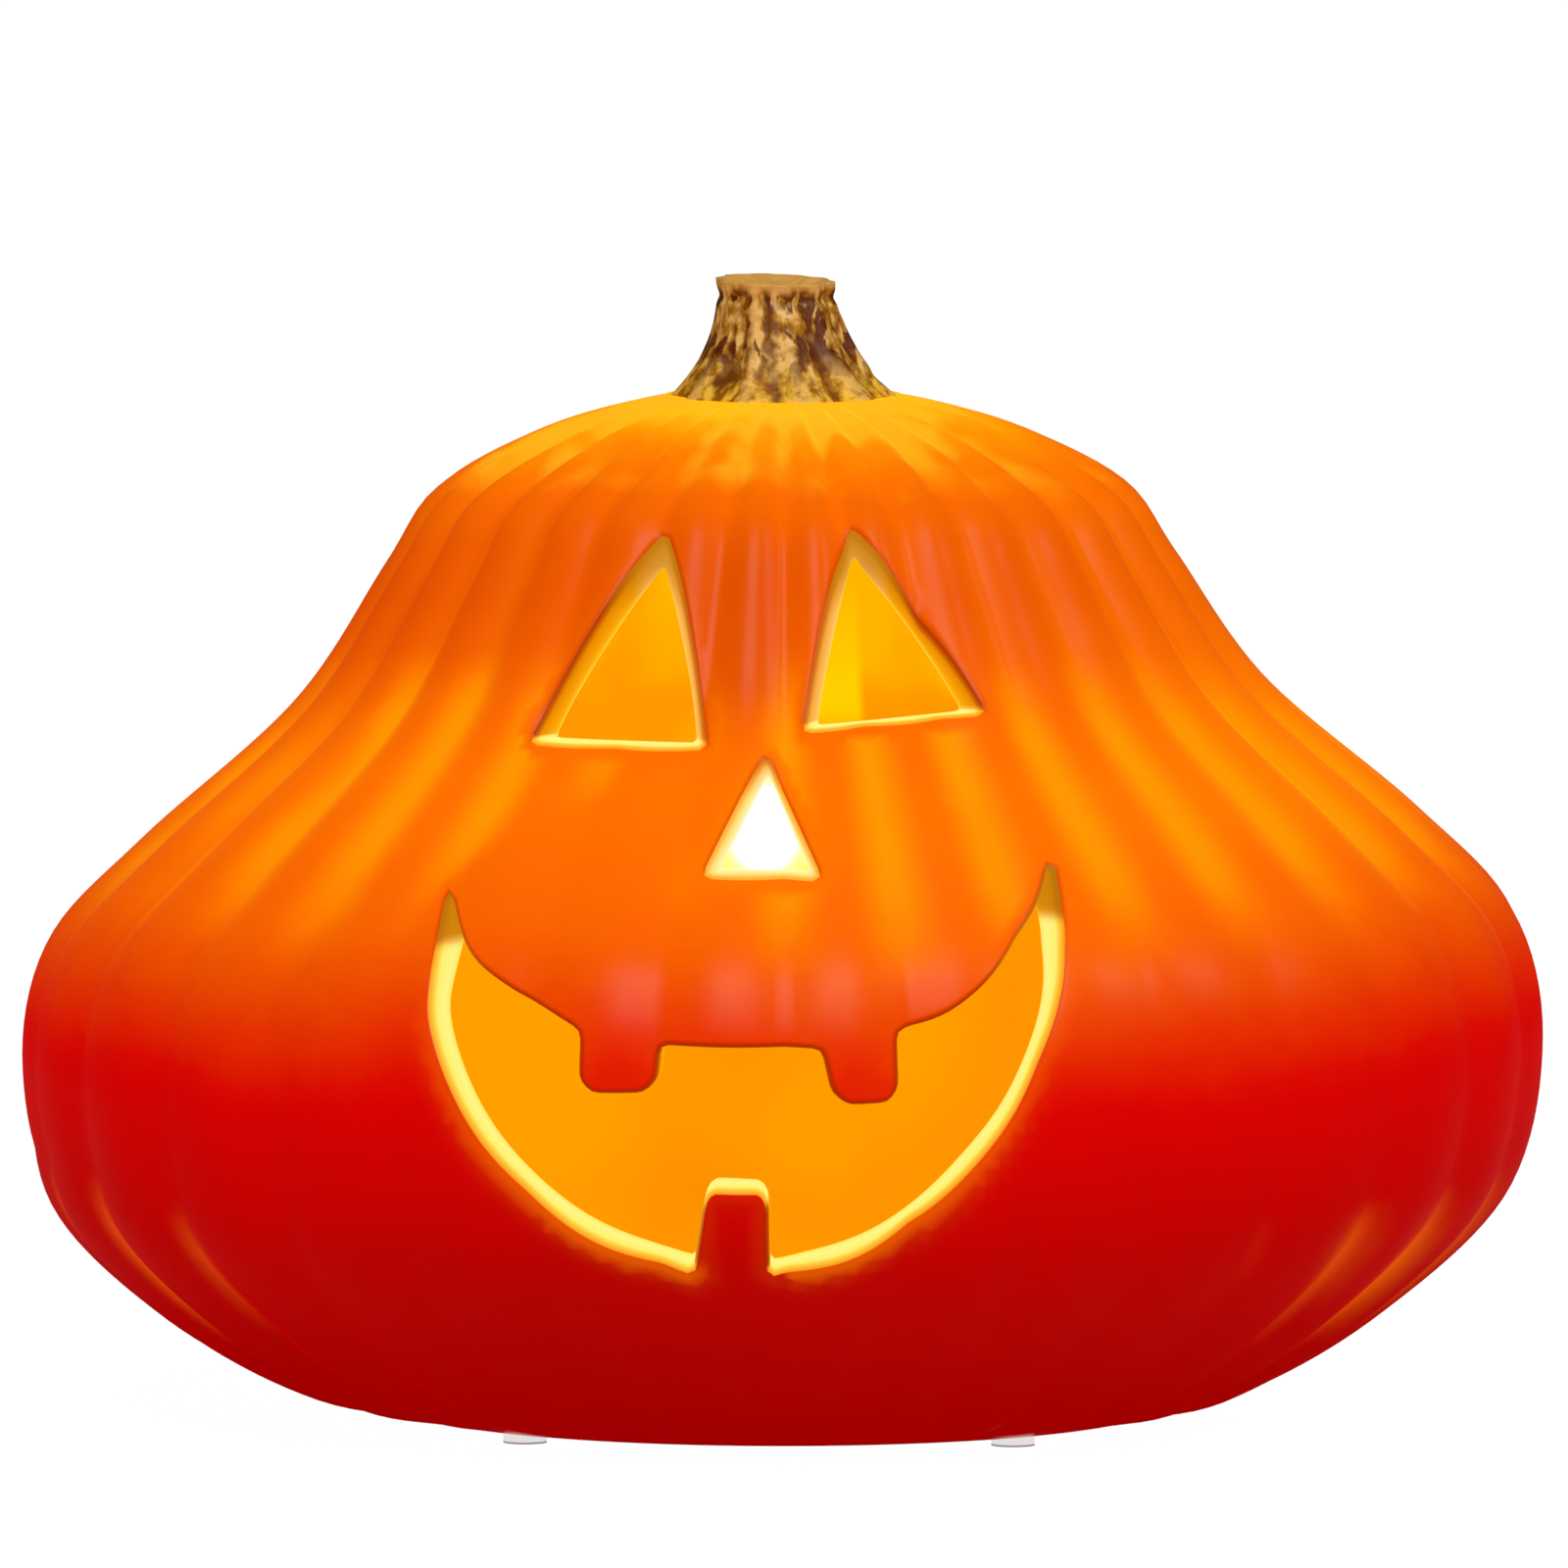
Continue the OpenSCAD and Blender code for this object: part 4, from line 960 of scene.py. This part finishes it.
# the lamp board gets a warm painted glow of the diode's light
board_white_painted_glow = plastic("lamp_board_white", (0.75, 0.74, 0.70), (0.82, 0.80, 0.76), 0.3,
                      glow=(0.5, 0.4, 0.2))


def clear_silicone():
    """Pads that pass the table's light at their sides, and are dull underneath."""
    g = Graph("clear_silicone", rough=0.3, spec=0.4, glow_strength=1.0)
    cloud = g.noise(400, 2)
    side = g.span(g.axis(2), 0.00005, 0.0003)
    g.set(color=g.ramp(cloud, [(0.3, (0.52, 0.52, 0.50)), (0.7, (0.60, 0.60, 0.58))]),
          glow=g.mix(side, (0.05, 0.05, 0.05), (0.74, 0.72, 0.71)))
    g.bump(cloud, 0.1, 0.0001)
    return g.mat


def solder_mask():
    """Green lacquer with paler tracks."""
    g = Graph("solder_mask", rough=0.3, spec=0.5, coat=0.3)
    lines = g.node("TexBrick")
    for name, v in (("Scale", 420.0), ("Mortar Size", 0.06), ("Brick Width", 1.4), ("Row Height", 0.5),
                    ("Vector", g.coords()), ("Color1", (0.012, 0.10, 0.03)),
                    ("Color2", (0.012, 0.085, 0.028)), ("Mortar", (0.03, 0.19, 0.06))):
        g.put(v, lines.inputs[name])
    g.set(color=lines.outputs["Color"])
    return g.mat


def led_resin():
    """The lit diode."""
    g = Graph("led_resin", rough=0.15, glow_strength=1.0)
    n = g.noise(300, 2)
    g.set(color=(0.9, 0.8, 0.45),
          glow=g.ramp(n, [(0.3, (1.0, 0.82, 0.40)), (0.7, (1.0, 0.9, 0.55))]))
    return g.mat


def frosted():
    """The lit dome: white over the diode, amber towards its rim."""
    g = Graph("frosted_dome", rough=0.5, spec=0.3, glow_strength=1.6)
    lo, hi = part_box("lamp_dome")
    across = g.math("SUBTRACT", g.axis(0), (lo.x + hi.x) / 2)
    up = g.times(g.math("SUBTRACT", g.axis(2), (lo.z + hi.z) / 2 + 0.003), 0.85)
    off = g.math("SQRT", g.plus(g.times(across, across), g.times(up, up)))
    g.set(color=(0.85, 0.83, 0.78),
          glow=g.ramp(g.span(off, 0, 0.011), [
              (0.0, (1.0, 1.0, 0.92)), (0.36, (1.0, 1.0, 0.80)), (0.47, (0.66, 0.60, 0.24)),
              (0.62, (0.62, 0.42, 0.06)), (1.0, (0.58, 0.27, 0.0))]))
    g.bump(g.noise(1500, 3), 0.15, 0.0001)
    return g.mat


def dress(name, material, sharp=30):
    """A CAD node keeps its mesh, and gets a material and soft shading between its sharp edges."""
    o = nodes[name]
    o.data.materials.clear()
    o.data.materials.append(material)
    count = len(o.data.polygons)
    o.data.polygons.foreach_set("material_index", np.zeros(count, np.int32))
    o.data.polygons.foreach_set("use_smooth", np.ones(count, bool))
    split = o.modifiers.new("split", "EDGE_SPLIT")
    split.split_angle = math.radians(sharp)


for name, material in (
        ("base_housing", amber_dark), ("base_cover", amber), ("battery_door", amber_dark),
        ("lamp_bracket", amber), ("cover_screws", steel), ("door_screw", steel), ("screw_insert", brass),
        ("contact_plates", nickel), ("circuit_board", solder_mask()), ("timer_chip", chip_resin),
        ("capacitor", cap_sleeve), ("resistor", resistor_coat), ("switch_body", steel),
        ("switch_slider", black_plastic), ("lead_grommet", black_rubber), ("lead_clips", clip_white),
        ("lamp_pad", white_foam), ("lamp_board", board_white_painted_glow), ("lamp_led", led_resin()),
        ("foot_pads", clear_silicone()), ("base_gasket", white_foam), ("door_foam", pad_foam)):
    dress(name, material)
dress("lamp_dome", frosted(), sharp=50)
for name, material in (("battery_wires", red_pvc), ("contact_springs", nickel), ("lead_red", red_pvc),
                       ("lead_black", black_pvc)):
    dress(name, material, sharp=80)


# ---------------------------------------------------------------- cells

def cell_sleeve():
    """A blue wrap with bare metal ends."""
    g = Graph("cell_sleeve", rough=0.28, spec=0.5)
    from_middle = g.math("ABSOLUTE", g.axis(0))
    bare_end = g.span(from_middle, 0.0125, 0.0127)
    wrap = g.noise(300, 2)
    blue = g.ramp(wrap, [(0.3, (0.010, 0.035, 0.12)), (0.7, (0.014, 0.045, 0.15))])
    g.set(color=g.mix(bare_end, blue, (0.50, 0.50, 0.48)), metal=g.times(bare_end, 0.9))
    return g.mat


CELL_STEPS, CELL_INSET = 40, 0.02
SLEEVE_BANDS = range(7, 13)     # of the profile's bands; the rest are bare metal
sleeve = cell_sleeve()
for node, way in (("battery_front", 1), ("battery_middle", -1), ("battery_rear", 1)):
    lo, hi = (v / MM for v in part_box(node))
    y, z = (lo.y + hi.y) / 2, (lo.z + hi.z) / 2
    tip = hi.x if way > 0 else lo.x
    r = (hi.z - lo.z) / 2 - CELL_INSET
    length = hi.x - lo.x - 2 * CELL_INSET
    profile = [(0.6, 0.02), (1.7, 0.02), (1.9, 0.2), (1.9, 0.75), (2.2, 0.95), (3.6, 1.0), (3.9, 1.25),
               (r - 0.5, 1.25), (r - 0.1, 1.35), (r, 1.8), (r, length - 0.7), (r - 0.15, length - 0.2),
               (r - 0.7, length - 0.05), (r - 1.0, length - 0.25), (2.6, length - 0.2), (0.6, length - 0.1)]
    v, f = lathe(profile, CELL_STEPS, (tip, y, z), (-way, 0, 0))
    cell = add_mesh(node + "_cell", v, f, [sleeve, nickel], "figure",
                    face_mats=[0 if i // CELL_STEPS in SLEEVE_BANDS else 1 for i in range(len(f))])
    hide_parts(node)


# ---------------------------------------------------------------- camera, light, stage

CAMERA_AZIMUTH, CAMERA_ELEVATION = math.radians(3.35), math.radians(4.8)
CAMERA_AWAY, VIEW_WIDTH, SENSOR = 5.0, 0.1955, 36
camera_data = bpy.data.cameras.new("camera")
camera = bpy.data.objects.new("camera", camera_data)
collection.objects.link(camera)
scene.camera = camera
look_at = Vector((0.0001, 0, 0.0796))
back = Vector((math.sin(CAMERA_AZIMUTH) * math.cos(CAMERA_ELEVATION),
               -math.cos(CAMERA_AZIMUTH) * math.cos(CAMERA_ELEVATION), math.sin(CAMERA_ELEVATION)))
camera.location = look_at + back * CAMERA_AWAY
camera.rotation_mode = "QUATERNION"
camera.rotation_quaternion = (-back).to_track_quat("-Z", "Y")
camera_data.sensor_width = SENSOR
camera_data.lens = SENSOR * CAMERA_AWAY / VIEW_WIDTH
camera_data.clip_start, camera_data.clip_end = 0.05, 20

scene.view_settings.view_transform = "Standard"
scene.view_settings.look = "None"

# a world that is white to the camera and dim as a light
world = bpy.data.worlds.new("world")
scene.world = world
world.use_nodes = True
background = world.node_tree.nodes["Background"]
background.inputs[0].default_value = (1, 1, 1, 1)
seen = world.node_tree.nodes.new("ShaderNodeLightPath")
amount = world.node_tree.nodes.new("ShaderNodeMapRange")
amount.inputs["To Min"].default_value = 0.02
amount.inputs["To Max"].default_value = 1.0
world.node_tree.links.new(seen.outputs["Is Camera Ray"], amount.inputs["Value"])
world.node_tree.links.new(amount.outputs[0], background.inputs[1])


def softbox(name, place, target, size, watts):
    data = bpy.data.lights.new(name, "AREA")
    data.shape, data.size, data.size_y = "RECTANGLE", *size
    data.energy = watts
    light = bpy.data.objects.new(name, data)
    collection.objects.link(light)
    light.location = place
    light.rotation_mode = "QUATERNION"
    light.rotation_quaternion = (Vector(target) - Vector(place)).to_track_quat("-Z", "Y")


FLOOR_R, FLOOR_CORNERS, FLOOR_Z = 14, 64, -0.0002


def floor():
    """A white floor, bright to the camera and dim as a light."""
    g = Graph("floor", rough=0.9, spec=0.0)
    seen = g.node("LightPath").outputs["Is Camera Ray"]
    g.set(color=g.ramp(g.noise(3, 2), [(0.3, (0.12, 0.12, 0.12)), (0.7, (0.13, 0.13, 0.13))]),
          glow=(1, 1, 1), glow_strength=g.span(seen, 0, 1))
    mesh = bpy.data.meshes.new("floor")
    turns = [TURN * i / FLOOR_CORNERS for i in range(FLOOR_CORNERS)]
    ring = [(FLOOR_R * math.cos(t), FLOOR_R * math.sin(t), FLOOR_Z) for t in turns]
    mesh.from_pydata(ring, [], [tuple(range(FLOOR_CORNERS))])
    mesh.materials.append(g.mat)
    obj = bpy.data.objects.new("floor", mesh)
    collection.objects.link(obj)


floor()
softbox("front_top", (0.06, -0.95, 1.15), (0, 0, 0.08), (0.75, 0.85), 12)
softbox("right_strip", (1.2, -0.35, 1.1), (0.03, 0, 0.08), (0.25, 0.5), 3)
